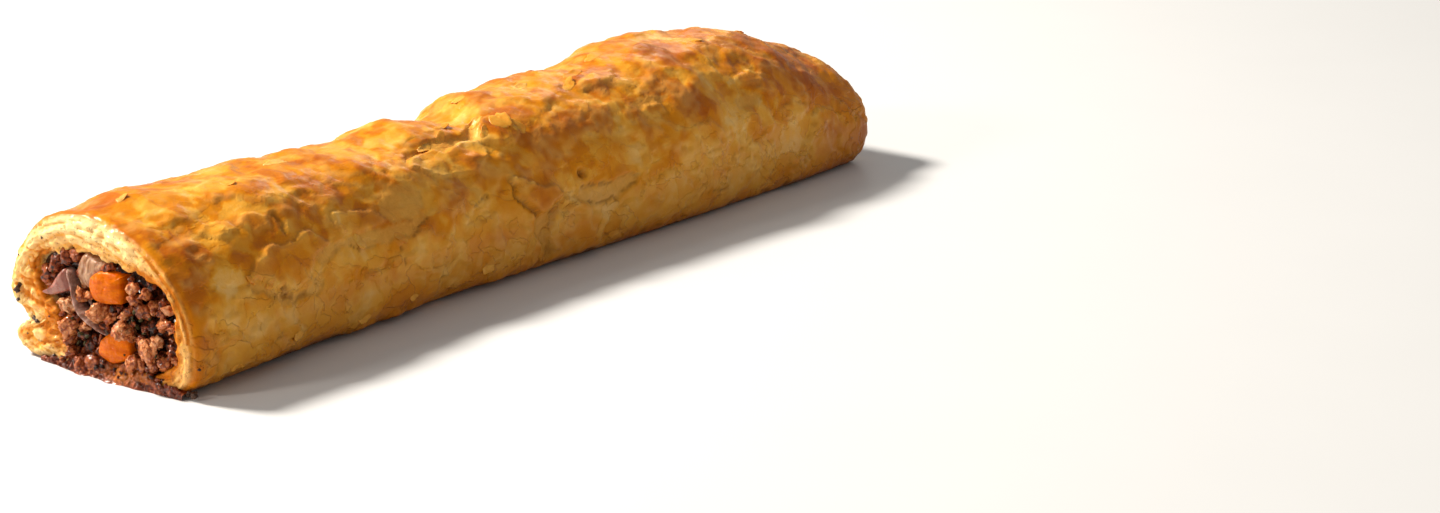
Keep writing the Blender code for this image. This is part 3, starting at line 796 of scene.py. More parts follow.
stain = np.clip(stain + np.where(IN_RIM, sides, 0.0), 0, 1)
for name, values in {"bake": bake, "torn": torn, "cut": cut, "stain": stain, "char": char, "edge": pale_edge_and_highlight,
                     "painted_shade": painted_shade * IN_SKIN, "layer": layer_line, "side": 1 - 0.85 * UP}.items():
    paint(crust, name, np.clip(values, 0.0, 1.0))
print("stained share of the faces:", round(float((stain[IN_RIM] > 0.3).mean()), 2))


# %% [markdown]
# ## A short way to write materials
# A material in Blender is a small graph of nodes. Spelt out in full it takes dozens of lines, which hides what
# it does. So we keep one class with a few plain verbs, one for each kind of node that the food needs.

# %% The class that builds a finish
class Finish:
    """A material, with short ways to add nodes and join them."""

    def __init__(self, name, **numbers):
        self.material = bpy.data.materials.new(name)
        self.material.use_nodes = True
        self.tree = self.material.node_tree
        self.shader = self.tree.nodes["Principled BSDF"]
        self.place = self.tree.nodes.new("ShaderNodeTexCoord").outputs["Object"]
        for socket, number in numbers.items():
            self.shader.inputs[socket.replace("_", " ")].default_value = number

    def add(self, kind, inputs, **settings):
        """A node with these settings, each input either a number or another node's output."""
        node = self.tree.nodes.new("ShaderNode" + kind)
        for setting, value in settings.items():
            setattr(node, setting, value)
        for key, value in inputs.items():
            self.join(node.inputs[key], value)
        return node

    def join(self, socket, value):
        if isinstance(value, bpy.types.NodeSocket):
            self.tree.links.new(value, socket)
        else:
            socket.default_value = value

    def stored(self, name):
        return self.add("Attribute", {}, attribute_name=name).outputs["Fac"]

    def noise(self, size_mm, detail=2.0, roughness=0.55, stretch=(1, 1, 1), shift=0.0, twist=0.0):
        """Noise from 0 to 1 with bumps of about this size."""
        scaled = self.add("Mapping", {"Vector": self.place, "Scale": stretch, "Location": (shift, shift, shift)})
        inputs = {"Vector": scaled.outputs[0], "Scale": 1 / (size_mm * MM), "Detail": detail, "Roughness": roughness}
        return self.add("TexNoise", inputs | {"Distortion": twist}).outputs["Fac"]

    def cells(self, size_mm, feature="F1", shift=0.0):
        scaled = self.add("Mapping", {"Vector": self.place, "Location": (shift, shift, shift)})
        inputs = {"Vector": scaled.outputs[0], "Scale": 1 / (size_mm * MM)}
        return self.add("TexVoronoi", inputs, feature=feature).outputs["Distance"]

    def sum(self, operation, first, second=0.0, third=0.0, clamp=False):
        node = self.add("Math", {0: first, 1: second, 2: third}, operation=operation, use_clamp=clamp)
        return node.outputs[0]

    def between(self, value, start, end, low=0.0, high=1.0):
        """Turns start..end into low..high, smoothly, and holds it there."""
        inputs = {"Value": value, "From Min": start, "From Max": end, "To Min": low, "To Max": high}
        return self.add("MapRange", inputs, interpolation_type="SMOOTHSTEP").outputs["Result"]

    def ramp(self, value, stops):
        """Colours (red, green, blue) at places from 0 to 1."""
        node = self.add("ValToRGB", {"Fac": value})
        marks = node.color_ramp.elements
        while len(marks) < len(stops):
            marks.new(1.0)
        for mark, (place, colour) in zip(marks, stops):
            mark.position = place
            mark.color = (*colour, 1.0)
        return node.outputs["Color"]

    def mix(self, share, first, second, blend="MIX"):
        node = self.add("Mix", {0: share}, data_type="RGBA", blend_type=blend)
        for socket, colour in ((node.inputs[6], first), (node.inputs[7], second)):
            self.join(socket, (*colour, 1.0) if isinstance(colour, tuple) else colour)
        return node.outputs[2]

    def bump(self, height, depth_mm):
        inputs = {"Height": height, "Distance": depth_mm * MM, "Strength": 1.0}
        self.join(self.shader.inputs["Normal"], self.add("Bump", inputs).outputs[0])

    def finish(self, colour, roughness):
        self.join(self.shader.inputs["Base Color"], colour)
        self.join(self.shader.inputs["Roughness"], roughness)
        return self.material


print("the finish class is ready")

# %% [markdown]
# ## The crust's finish
# Egg wash browns from cream through gold and amber to chestnut, and stays glossy where it is thick. The torn
# sheets never saw the wash, so they are pale and dull. One ramp turns the stored browning into colour, fine
# noise breaks it up, and the same numbers steer the gloss.

# %% Crust material
BAKE_COLOURS = (
    (0.0, (0.88, 0.52, 0.16)),
    (0.22, (0.80, 0.365, 0.036)),
    (0.45, (0.70, 0.238, 0.003)),
    (0.7, (0.56, 0.155, 0.002)),
    (1.0, (0.42, 0.088, 0.001)),
)
PLIES = []
golden = Finish(
    "golden_crust", Specular_IOR_Level=0.12, Coat_Weight=0.13, Subsurface_Weight=0.08, Subsurface_Scale=0.002
)
golden.shader.inputs["Subsurface Radius"].default_value = (1.0, 0.5, 0.18)
golden.shader.inputs["Specular Tint"].default_value = (1.0, 0.8, 0.46, 1.0)
golden.shader.inputs["Coat Roughness"].default_value = 0.12
freckles = golden.noise(0.9, 4.0, 0.65)
clouds = golden.noise(3.4, 3.0, 0.6, shift=0.3)
streaks = golden.noise(1.1, 3.0, 0.6, stretch=(1.0, 0.25, 1.0), shift=0.7)
browning = golden.sum("MULTIPLY_ADD", golden.sum("SUBTRACT", freckles, 0.5), 0.1, golden.stored("bake"))
browning = golden.sum("MULTIPLY_ADD", golden.sum("SUBTRACT", clouds, 0.5), 0.1, browning)
browning = golden.sum("MULTIPLY_ADD", golden.sum("SUBTRACT", streaks, 0.5), 0.1, browning, clamp=True)
for size_mm, level, shift, browner in ((16.0, 0.5, 1.1, 0.09), (11.0, 0.47, 1.7, -0.08), (7.0, 0.57, 2.3, 0.06)):
    ply = golden.noise(size_mm, 4.0, 0.5, stretch=(1.0, 0.75, 1.0), shift=shift, twist=0.2)
    step = golden.between(ply, level, level + 0.022)
    PLIES.append((step, browner))
    browning = golden.sum("MULTIPLY_ADD", step, browner, browning, clamp=True)
skin_colour = golden.ramp(browning, BAKE_COLOURS)
# Edges are mixed paler: the exposed layer and a painted highlight
skin_colour = golden.mix(golden.sum("MULTIPLY", golden.stored("edge"), 0.55), skin_colour, (0.91, 0.57, 0.17))
# Dark brown mixed in wherever painted shade is stored
painted_shade_colour = (0.30, 0.11, 0.010)
torn_colour = golden.mix(freckles, (0.46, 0.19, 0.028), (0.88, 0.47, 0.11))
skin_colour = golden.mix(golden.sum("MULTIPLY", golden.stored("torn"), 0.6), skin_colour, torn_colour)
skin_colour = golden.mix(golden.sum("MULTIPLY", golden.stored("painted_shade"), 0.75), skin_colour, painted_shade_colour)
crumb_speckle = golden.noise(1.2, 4.0, 0.7, stretch=(0.6, 1.0, 1.4))
cream_share = golden.sum("MULTIPLY_ADD", golden.stored("layer"), 0.7, golden.sum("MULTIPLY", crumb_speckle, 0.6))
crumb_colour = golden.mix(golden.between(cream_share, 0.3, 0.75), (0.78, 0.36, 0.06), (0.97, 0.7, 0.31))
stain_colour = golden.mix(golden.between(freckles, 0.3, 0.7), (0.68, 0.19, 0.008), (0.92, 0.42, 0.04))
crumb_colour = golden.mix(golden.stored("stain"), crumb_colour, stain_colour)
deep_stain = golden.between(golden.stored("stain"), 0.62, 1.0, 0.0, 0.75)
crumb_colour = golden.mix(deep_stain, crumb_colour, (0.56, 0.135, 0.004))
specks = golden.between(golden.noise(0.9, 3.0, 0.7, shift=1.9), 0.56, 0.63)
crumb_colour = golden.mix(golden.sum("MULTIPLY", specks, 0.55), crumb_colour, (0.30, 0.085, 0.012))
crust_colour = golden.mix(golden.stored("cut"), skin_colour, crumb_colour)
crust_colour = golden.mix(golden.stored("char"), crust_colour, (0.09, 0.028, 0.008))
dullness = golden.sum("ADD", golden.stored("torn"), golden.stored("cut"), clamp=True)
gloss = golden.between(dullness, 0.0, 1.0, 0.34, 0.65)
gloss = golden.sum("MULTIPLY_ADD", golden.sum("SUBTRACT", freckles, 0.5), 0.3, gloss, clamp=True)
# Thin plies end in crisp, crooked lines: each is a noise that jumps from low to high within a hair's width
plies = 0.0
for step, _ in PLIES:
    plies = golden.sum("MULTIPLY_ADD", step, 1.0, plies)
fine_relief = golden.sum("MULTIPLY_ADD", golden.noise(0.45, 3.0, 0.6), 0.35, golden.noise(1.6, 3.0, 0.6))
off_skin = golden.sum("SUBTRACT", golden.stored("side"), golden.stored("cut"), clamp=True)
golden.bump(golden.sum("MULTIPLY_ADD", plies, off_skin, golden.sum("MULTIPLY", fine_relief, 0.55)), 0.22)
crust.data.materials.append(golden.finish(crust_colour, gloss))
print("nodes in the crust's material:", len(golden.tree.nodes))

# %% [markdown]
# ## Loose flakes
# A baked crust sheds: thin flakes lie on it, stuck at one side and lifted at the other. They are what catches
# the light as bright, broken edges. A relief can't lift off its own surface, so these are separate thin sheets.
# Each one is a small disc of points with a ragged outline, laid on the crust and bent up towards one side.

# %% Where the crust's surface is
SKIN_LINES = np.flatnonzero(ZONES == "skin")


def on_surface(along, degrees):
    """Points of the finished crust and their outward normals, at places along and round it."""
    column = np.interp(np.radians(np.mod(degrees, 360.0)), ANGLES, np.arange(AROUND))
    nearest = int(np.round(column.mean())) % AROUND
    line = np.interp(along, ALONG[SKIN_LINES, nearest], SKIN_LINES.astype(float))
    row, side = np.floor(line).astype(int), np.floor(column).astype(int)
    row_part, side_part = (line - row)[:, None], (column - side)[:, None]
    place, normal = 0.0, 0.0
    for i, row_weight in ((0, 1 - row_part), (1, row_part)):
        for j, side_weight in ((0, 1 - side_part), (1, side_part)):
            at = (np.minimum(row + i, len(ALONG) - 1), (side + j) % AROUND)
            place = place + row_weight * side_weight * CRUST[at]
            normal = normal + row_weight * side_weight * NORMALS[at]
    return place, normal / np.linalg.norm(normal, axis=1)[:, None]


place, normal = on_surface(np.array([50.0]), np.array([90.0]))
print("crest at 50 mm:", np.round(place[0], 1), "normal", np.round(normal[0], 2))

# %% Flakes that stand off the crust
# Each is (mm along, degrees, half length, half width, turn in degrees, lift in mm, way it lifts in degrees).
LOOSE_FLAKES = (
    (101.5, 68, 3.6, 2.2, 80, 1.0, -10),
    (104.0, 60, 2.6, 1.5, 100, 1.1, 20),
    (97.5, 77, 2.4, 1.4, 20, 0.9, 60),
    (95.5, 64, 2.2, 1.2, 40, 0.8, 120),
    (19.0, 21, 2.0, 1.1, 160, 0.7, 200),
    (22.0, 16, 1.6, 1.0, 30, 0.7, 240),
    (49.0, 23, 2.2, 1.1, 100, 0.7, 270),
    (59.5, 17, 1.8, 1.1, 130, 0.7, 240),
    (28.0, -14, 1.6, 0.9, 20, 0.9, 250),
    (47.5, -20, 2.0, 0.9, 10, 1.0, 260),
    (12.0, -18, 2.0, 1.0, 0, 0.9, 260),
    (61.0, -18, 1.4, 0.8, 0, 0.8, 250),
    (83.0, -16, 1.8, 0.9, 10, 0.8, 260),
    (48.0, 98, 3.2, 1.3, 5, 0.9, 90),
    (80.0, 70, 2.6, 1.3, 20, 0.8, 230),
    (86.0, 74, 2.2, 1.2, 50, 0.8, 60),
    (128.0, 80, 2.6, 1.4, 30, 0.8, 40),
    (134.0, 90, 3.0, 1.2, 10, 0.9, 80),
    (120.0, 96, 3.0, 1.3, 10, 0.9, 90),
    (146.0, 100, 3.0, 1.3, 5, 0.8, 90),
    (40.0, 140, 3.4, 1.7, 20, 0.8, 120),
    (84.0, 150, 3.2, 1.8, 40, 0.9, 160),
    (126.0, 142, 3.4, 1.6, 10, 0.8, 140),
    (170.0, 155, 3.2, 1.8, 60, 0.9, 170),
)
SCATTERED_FLAKES = 9
FLAKE_RINGS = 6
FLAKE_SPOKES = 22
FLAKE_THICKNESS_MM = 0.16


def flake_row(maker):
    """A small flake somewhere on the seen parts of the crust, mostly near the top."""
    degrees = maker.normal(100.0, 30.0)
    size = maker.uniform(0.7, 1.7)
    return (maker.uniform(5, 200), degrees, size * 1.3, size * 0.8, maker.uniform(0, 180),
            maker.uniform(0.25, 0.6), maker.uniform(0, 360))


def flake_sheet(row, maker):
    """The upper and lower points of one flake, in rings from its middle out."""
    along, degrees, half_length, half_width, turn, lift, way = row
    spoke = np.arange(FLAKE_SPOKES) * 2 * math.pi / FLAKE_SPOKES
    share = np.sqrt(np.linspace(0.02, 1, FLAKE_RINGS))[:, None]
    corners = np.sort(maker.uniform(0, 2 * math.pi, 6))
    corner_reach = maker.uniform(0.55, 1.25, 6)
    jag = np.interp(spoke, corners, corner_reach, period=2 * math.pi) + maker.uniform(-0.09, 0.09, FLAKE_SPOKES)
    length = share * jag * np.cos(spoke) * half_length
    width = share * jag * np.sin(spoke) * half_width
    c, s = math.cos(math.radians(turn)), math.sin(math.radians(turn))
    y, around = (length * c - width * s).ravel(), (length * s + width * c).ravel()
    place, normal = on_surface(along + y, degrees + around / MM_PER_DEGREE)
    towards = (y * math.cos(math.radians(way)) + around * math.sin(math.radians(way))) / half_length
    rise = 0.06 + lift * step_up(towards, -0.2, 1.1) - 0.12 * np.repeat(share.ravel(), FLAKE_SPOKES)
    top = place + normal * (rise + 0.5 * FLAKE_THICKNESS_MM)[:, None]
    return np.concatenate([top, top - normal * FLAKE_THICKNESS_MM])


def flake_faces():
    """Quads over the top, down the edge and back under, with the tiny middle holes closed by long quads."""
    faces = []
    count = FLAKE_RINGS * FLAKE_SPOKES
    for ring_row in range(FLAKE_RINGS - 1):
        for spoke in range(FLAKE_SPOKES):
            a = ring_row * FLAKE_SPOKES + spoke
            b = ring_row * FLAKE_SPOKES + (spoke + 1) % FLAKE_SPOKES
            faces.append((a, a + FLAKE_SPOKES, b + FLAKE_SPOKES, b))
            faces.append((count + b, count + b + FLAKE_SPOKES, count + a + FLAKE_SPOKES, count + a))
    outer = (FLAKE_RINGS - 1) * FLAKE_SPOKES
    for spoke in range(FLAKE_SPOKES):
        a, b = outer + spoke, outer + (spoke + 1) % FLAKE_SPOKES
        faces.append((a, count + a, count + b, b))
    for spoke in range(0, FLAKE_SPOKES // 2 - 1):
        a, b, c, d = spoke, spoke + 1, FLAKE_SPOKES - 2 - spoke, FLAKE_SPOKES - 1 - spoke
        faces.append((a, b, c, d))
        faces.append((count + d, count + c, count + b, count + a))
    return np.array(faces)


def many(points_of_each, faces_of_one):
    """All the points, and the faces repeated once for each piece."""
    size = len(points_of_each[0])
    faces = np.concatenate([faces_of_one + i * size for i in range(len(points_of_each))])
    return np.concatenate(points_of_each), faces


flake_maker = np.random.default_rng(61)
flake_rows = list(LOOSE_FLAKES) + [flake_row(flake_maker) for _ in range(SCATTERED_FLAKES)]
sheets = [flake_sheet(row, flake_maker) for row in flake_rows]
flakes = mesh_from("loose_flakes", *many(sheets, flake_faces()))
flake_bake = []
for row in flake_rows:
    line = SKIN_LINES[np.abs(ALONG[SKIN_LINES, 0] - row[0]).argmin()]
    column = np.abs((DEGREES[0] - row[1] + 180.0) % 360.0 - 180.0).argmin()
    flake_bake.append(float(np.clip(bake[line, column] - 0.05, 0.08, 0.34)) + flake_maker.uniform(-0.05, 0.05))
paint(flakes, "bake", np.repeat(flake_bake, len(sheets[0])))
print("loose flakes:", len(sheets), "faces:", len(flakes.data.polygons))

# %% The flakes' finish
flaky = Finish("flake_gold", Specular_IOR_Level=0.4, Subsurface_Weight=0.15, Subsurface_Scale=0.001)
flake_browning = flaky.sum("MULTIPLY_ADD", flaky.noise(1.0, 3.0, 0.6), 0.35, flaky.stored("bake"))
flake_browning = flaky.sum("SUBTRACT", flake_browning, 0.18, clamp=True)
flakes.data.materials.append(flaky.finish(flaky.ramp(flake_browning, BAKE_COLOURS), 0.45))
print("flakes finished")

# %% [markdown]
# ## The filling
# Minced meat bakes into one soft body that runs through the whole roll. At the cuts it breaks into lumps of two
# to five millimetres, wet with brown juice. The body is one grid from cut to cut, with coarse relief on both
# ends. The lumps that show are solid meshes of their own, since their gaps and overlaps make most of the look.

# %% The body of the filling
CORE_AROUND = 144
CORE_RINGS = 24
CORE_DEPTH_MM = {"near": 2.6, "far": 0.9}
core_angles = np.arange(CORE_AROUND) * 2 * math.pi / CORE_AROUND


def cut_y(end, angle):
    """Where the cut is at the edge of the hole."""
    return face_y(end, np.full(len(angle), 0.9), angle)


def core_cap(end):
    """Rings of one end, from its middle out to the wall of the hole."""
    inward = 1.0 if end == "near" else -1.0
    base_y = cut_y(end, core_angles).mean() + inward * CORE_DEPTH_MM[end]
    rings = []
    for share in np.linspace(0.01, 1.0, CORE_RINGS):
        reach = hole_reach(np.full(CORE_AROUND, base_y), core_angles) * share + 0.15
        x, z = HEART_X + reach * np.cos(core_angles), HEART_Z + reach * np.sin(core_angles)
        plain = np.stack([x, np.full(CORE_AROUND, base_y), z], axis=1)
        lump_near, lump_next, _ = cell_noise(plain, 3.2, 301)
        lump = 1.3 * step_up(lump_next - lump_near, 0.0, 0.5) + 0.5 * layered_noise(plain, 1.5, 303)
        plain[:, 1] -= inward * lump * (1 - step_up(share, 0.9, 1.0))
        rings.append(plain)
    return rings


near_cap, far_cap = core_cap("near"), core_cap("far")
core_rings = list(near_cap)
for share in np.linspace(0.03, 0.97, 30):
    y = near_cap[-1][0, 1] + share * (far_cap[-1][0, 1] - near_cap[-1][0, 1])
    reach = hole_reach(np.full(CORE_AROUND, y), core_angles) + 0.15
    x, z = HEART_X + reach * np.cos(core_angles), HEART_Z + reach * np.sin(core_angles)
    core_rings.append(np.stack([x, np.full(CORE_AROUND, y), z], axis=1))
core_rings += far_cap[::-1]
core_points = np.array(core_rings)
core_faces = torus_faces(len(core_rings), CORE_AROUND)
core = mesh_from("filling_core", core_points, core_faces)
unroll(core, len(core_rings), CORE_AROUND)
# The body gets the darkest tone: partly dark juice, partly painted shade in the gaps between the lumps
paint(core, "tone", np.full(core_points.shape[:2], 0.0))
print("filling core:", len(core.data.polygons), "faces")


# %% Lumps of mince
def ball(levels):
    """Points on a round ball and its triangles."""
    made = bmesh.new()
    bmesh.ops.create_icosphere(made, subdivisions=levels, radius=1.0)
    points = np.array([v.co for v in made.verts])
    faces = np.array([[v.index for v in f.verts] for f in made.faces])
    made.free()
    return points, faces


BALLS = {levels: ball(levels) for levels in (2, 3, 4)}
BALL, BALL_FACES = BALLS[3]


def turned(points, maker):
    """The points turned to a random position."""
    axes, _ = np.linalg.qr(maker.normal(size=(3, 3)))
    return points @ axes.T


GRAIN_MM = 0.95


def lump_of(middle, size_mm, maker, rough=1.0, flat=0.0, levels=3):
    """One crumb: a stretched ball made of coarse grains, size across in mm."""
    plain = BALLS[levels][0]
    shift = maker.uniform(0, 90, 3)
    knobs = layered_noise(plain + shift, 0.9, 311, 3)
    in_mm = plain * 0.5 * size_mm + shift
    bent = in_mm + 0.5 * np.stack([layered_noise(in_mm + 20.0 * k, 1.2, 317 + k, 2) for k in range(3)], axis=-1)
    grain_near, grain_next, _ = cell_noise(bent, GRAIN_MM, 313)
    grains = 0.27 * step_up(grain_next - grain_near, 0.0, 0.5) + 0.2 * layered_noise(in_mm, 0.7, 315, 3)
    reach = 1 + rough * (0.4 * knobs + (grains - 0.24) * 2.0 / max(size_mm, 1.6))
    stretch = np.array([1.0, maker.uniform(0.7, 1.0), maker.uniform(0.62 - 0.3 * flat, 0.95 - 0.4 * flat)])
    return np.asarray(middle) + turned(plain * reach[:, None] * stretch, maker) * 0.5 * size_mm


# Crumbs that can be told apart at the near cut: (x, z, depth behind the cut, size across, tone)
NAMED_CRUMBS = (
    (-8.0, 12.4, 0.2, 4.6, 0.74),
    (-8.2, 8.2, 0.3, 5.2, 0.58),
    (-8.6, 5.6, 0.6, 3.6, 0.42),
    (0.2, 12.7, 0.0, 4.4, 0.66),
    (2.7, 11.8, 0.6, 3.0, 0.52),
    (7.3, 10.4, -0.4, 4.6, 0.64),
    (6.9, 13.0, 0.3, 2.6, 0.66),
    (13.2, 8.0, -0.2, 4.6, 0.58),
    (11.9, 6.9, 0.6, 3.0, 0.46),
    (15.7, 9.8, 0.0, 2.9, 0.7),
    (11.9, 14.6, 0.7, 3.8, 0.38),
    (14.2, 12.4, 1.2, 3.0, 0.08),
    (10.0, 16.6, 0.2, 3.0, 0.52),
    (14.2, 15.9, 1.2, 3.2, 0.5),
    (17.0, 13.4, 0.6, 3.0, 0.52),
    (19.1, 12.9, 0.6, 2.4, 0.6),
    (17.6, 16.0, 1.2, 2.6, 0.72),
    (18.6, 8.2, 0.9, 2.8, 0.3),
    (-13.9, 17.3, 1.1, 3.6, 0.34),
    (-11.6, 19.5, 1.2, 3.4, 0.3),
    (-13.3, 15.2, 1.2, 3.0, 0.3),
    (-8.8, 21.2, 1.2, 3.6, 0.3),
    (-6.0, 22.2, 1.3, 3.0, 0.36),
    (-3.4, 9.2, 0.0, 2.6, 0.68),
    (-4.4, 14.9, 0.2, 3.4, 0.58),
    (-6.6, 15.6, 0.9, 2.8, 0.5),
    (-2.0, 15.4, 0.5, 2.4, 0.62),
    (-7.9, 3.2, 0.2, 3.6, 0.46),
    (-5.2, 1.9, -0.2, 3.4, 0.4),
    (-1.8, 2.6, -0.1, 3.4, 0.42),
    (-0.6, 4.6, 0.8, 2.6, 0.36),
    (8.8, 4.6, -0.1, 3.4, 0.56),
    (11.2, 4.3, 0.3, 2.8, 0.44),
    (14.0, 4.7, 0.2, 3.0, 0.4),
    (17.0, 5.9, 0.4, 3.2, 0.48),
    (19.4, 6.9, 0.7, 2.2, 0.56),
    (4.9, 8.9, 0.9, 2.6, 0.5),
    (10.4, 8.9, 0.9, 2.6, 0.42),
    (9.7, 18.9, 0.2, 2.8, 0.62),
    (12.2, 17.9, 1.2, 2.4, 0.4),
    (4.0, 13.9, 0.3, 2.2, 0.0),
    (-4.6, 7.4, 1.3, 3.8, 0.1),
    (-2.6, 5.8, 1.2, 3.4, 0.12),
    (-3.8, 5.0, 1.0, 3.0, 0.1),
)
NEAR_BITS = 62  # smaller ones between them
FINE_CRUMB_MM = 4.3  # crumbs at least this big get the finer ball
FOOT_BITS = 34  # tiny ones caught in the juice
FAR_BITS = 74
# What the crumbs keep clear of, at each cut: (x, z, how far)
KEEP_CLEAR = {
    "near": ((1.2, 17.4, 3.2), (5.8, 18.2, 3.2), (4.4, 6.6, 3.4), (-9.6, 16.2, 2.6), (-2.0, 20.4, 3.2)),
    "far": ((-3.4, 12.0, 3.6), (8.2, 7.6, 3.2)),
}


def crumb_places(end, count, sizes, maker):
    """Places over one cut, no two closer than their sizes allow: (middle, size)."""
    inward = 1.0 if end == "near" else -1.0
    y = cut_y(end, core_angles).mean()
    found = []
    for _ in range(count * 40):
        if len(found) == count:
            break
        angle = maker.uniform(0, 2 * math.pi, 1)
        size = maker.uniform(*sizes)
        reach = math.sqrt(maker.random()) * (hole_reach(np.array([y]), angle)[0] - 0.3 * size)
        x, z = HEART_X + reach * math.cos(angle[0]), HEART_Z + reach * math.sin(angle[0])
        clear = all(math.hypot(x - cx, z - cz) > far for cx, cz, far in KEEP_CLEAR[end])
        apart = all(math.hypot(x - m[0], z - m[2]) > 0.36 * (size + s) for m, s in found)
        if clear and apart:
            found.append(((x, y + inward * maker.uniform(0.3, 1.9), z), size))
    return found


def mince(end, named, count, sizes, seed):
    """One mesh of crumbs for one cut."""
    maker = np.random.default_rng(seed)
    y = cut_y(end, core_angles).mean()
    rows = [((x, y + depth, z), size, tone) for x, z, depth, size, tone in named]
    rows += [(middle, size, maker.uniform(0.14, 0.55)) for middle, size in crumb_places(end, count, sizes, maker)]
    if end == "near":
        for x in maker.uniform(-12.5, 17.5, FOOT_BITS):
            middle = (x, y + maker.uniform(-1.2, 0.6), maker.uniform(0.9, 3.4))
            rows.append((middle, maker.uniform(0.8, 1.8), maker.uniform(0.06, 0.36)))
    points, faces, tones, total = [], [], [], 0
    for middle, size, tone in rows:
        levels = 4 if size >= FINE_CRUMB_MM and end == "near" else (3 if size > 1.8 else 2)
        points.append(lump_of(middle, size, maker, levels=levels))
        faces.append(BALLS[levels][1] + total)
        total += len(points[-1])
        tones.append(np.full(len(points[-1]), tone))
    made = mesh_from(f"mince_{end}", np.concatenate(points), np.concatenate(faces))
    paint(made, "tone", np.concatenate(tones))
    return made


near_mince = mince("near", NAMED_CRUMBS, NEAR_BITS, (1.5, 2.9), 331)
far_mince = mince("far", (), FAR_BITS, (2.2, 4.6), 332)
print("mince triangles:", len(near_mince.data.polygons), "and", len(far_mince.data.polygons))

# %% [markdown]
# ## The mince's finish
# Cooked mince is brown where it dried and dark red-brown where it is wet, with paler, pinkish fat on the knobs.
# Each lump has its own tone, so that neighbours part from each other, and fine noise mottles it. It is wet, so
# it is glossy in patches, and thin light goes a little way in. The gaps between the grains are darkened as painted
# shade.

# %% Mince material
MINCE_COLOURS = (
    (0.0, (0.014, 0.003, 0.0015)),
    (0.2, (0.10, 0.016, 0.005)),
    (0.45, (0.37, 0.072, 0.016)),
    (0.75, (0.72, 0.25, 0.08)),
    (1.0, (0.88, 0.50, 0.27)),
)
meaty = Finish("cooked_mince", Specular_IOR_Level=0.1, Coat_Weight=0.6, Subsurface_Weight=0.05)
meaty.shader.inputs["Specular Tint"].default_value = (1.0, 0.72, 0.52, 1.0)
meaty.shader.inputs["Subsurface Scale"].default_value = 0.0008
meaty.shader.inputs["Subsurface Radius"].default_value = (1.0, 0.35, 0.2)
meaty.shader.inputs["Coat Roughness"].default_value = 0.05
mottle = meaty.noise(0.8, 4.0, 0.65)
patches = meaty.noise(2.2, 2.0, shift=0.2)
grain_gap = meaty.between(meaty.cells(0.85, shift=0.003), 0.42, 0.78)
mince_tone = meaty.sum("MULTIPLY_ADD", meaty.sum("SUBTRACT", mottle, 0.33), 0.8, meaty.stored("tone"))
mince_tone = meaty.sum("MULTIPLY_ADD", meaty.sum("SUBTRACT", patches, 0.5), 0.35, mince_tone)
# The gaps between grains are darkened: painted shade
mince_tone = meaty.sum("MULTIPLY_ADD", grain_gap, -0.28, mince_tone, clamp=True)
wetness = meaty.between(meaty.noise(1.3, 2.0, shift=0.5), 0.4, 0.62)
grain_relief = meaty.sum("MULTIPLY_ADD", grain_gap, -0.7, meaty.noise(0.5, 4.0, 0.7))
meaty.bump(grain_relief, 0.36)
mince_finish = meaty.finish(meaty.ramp(mince_tone, MINCE_COLOURS), meaty.sum("MULTIPLY_ADD", wetness, -0.3, 0.6))
for piece in (core, near_mince, far_mince):
    piece.data.materials.append(mince_finish)
print("mince finished")

# %% [markdown]
# ## Carrot and onion
# The knife and the oven left the vegetables as smooth, soft-edged chunks that stand out of the mince. One way of
# building serves for all of them: an outline drawn in the plane of the cut, carried back into the filling, with
# a domed front and rounded edges. A long thin strip of onion is a bent tube with a flat oval section instead.

# %% Chunks from an outline
CHUNK_AROUND = 96
CHUNK_PROFILE = 40


def closed_curve(places, count):
    """A smooth closed curve through a few places, with evenly spread parameters."""
    places = np.asarray(places, float)
    share = np.arange(count) / count * len(places)
    row = share.astype(int)
    total = np.zeros((count, places.shape[1]))
    for i, weight in enumerate(cubic_parts(share - row)):
        total += weight[:, None] * places[(row + i - 1) % len(places)]
    return total


def chunk(name, outline, front, depth, edge_mm, dome_mm, lean=(0.0, 0.0), ridge=(0.0, 0.0), bumps=0.12, seed=0):
    """A solid from an outline of (x, z): front is its y, and lean moves x and z for each mm further back."""
    curve = closed_curve(outline, CHUNK_AROUND)
    middle = curve.mean(axis=0)
    inward = 1.0 if front < 0 else -1.0
    radius = np.linalg.norm(curve - middle, axis=1).mean()
    rows = []
    for part in np.linspace(0.0005, 0.9995, CHUNK_PROFILE):
        turn = part * math.pi  # 0 is the front's middle, pi the back's middle
        squared = abs(math.cos(turn)) ** 0.22 * np.sign(math.cos(turn))
        spread = min(1.0, math.sin(turn) ** 0.8 * 1.04)
        edge = max(0.0, 1 - (1 - spread) * radius / edge_mm)
        back = 0.5 * depth * (1 - squared)
        flat = middle + (curve - middle) * spread
        rise = dome_mm * (1 - spread**2) * (1 if turn < math.pi / 2 else 0)
        rounding = edge_mm * (1 - math.sqrt(max(0.0, 1 - edge**2))) * (1 if turn < math.pi / 2 else -1) * 0.8
        offset = flat - middle
        tilt = ridge[0] * offset[:, 0] + ridge[1] * offset[:, 1]
        y = front + inward * (back - rise + rounding + tilt * (1 if turn < math.pi / 2 else 0.3))
        rows.append(np.stack([flat[:, 0] + lean[0] * back, y, flat[:, 1] + lean[1] * back], axis=1))
    points = np.array(rows)
    points += bumps * np.stack([layered_noise(points + 20.0 * k, 2.4, 401 + seed + k) for k in range(3)], axis=-1)
    return mesh_from(name, points, torus_faces(*points.shape[:2]))


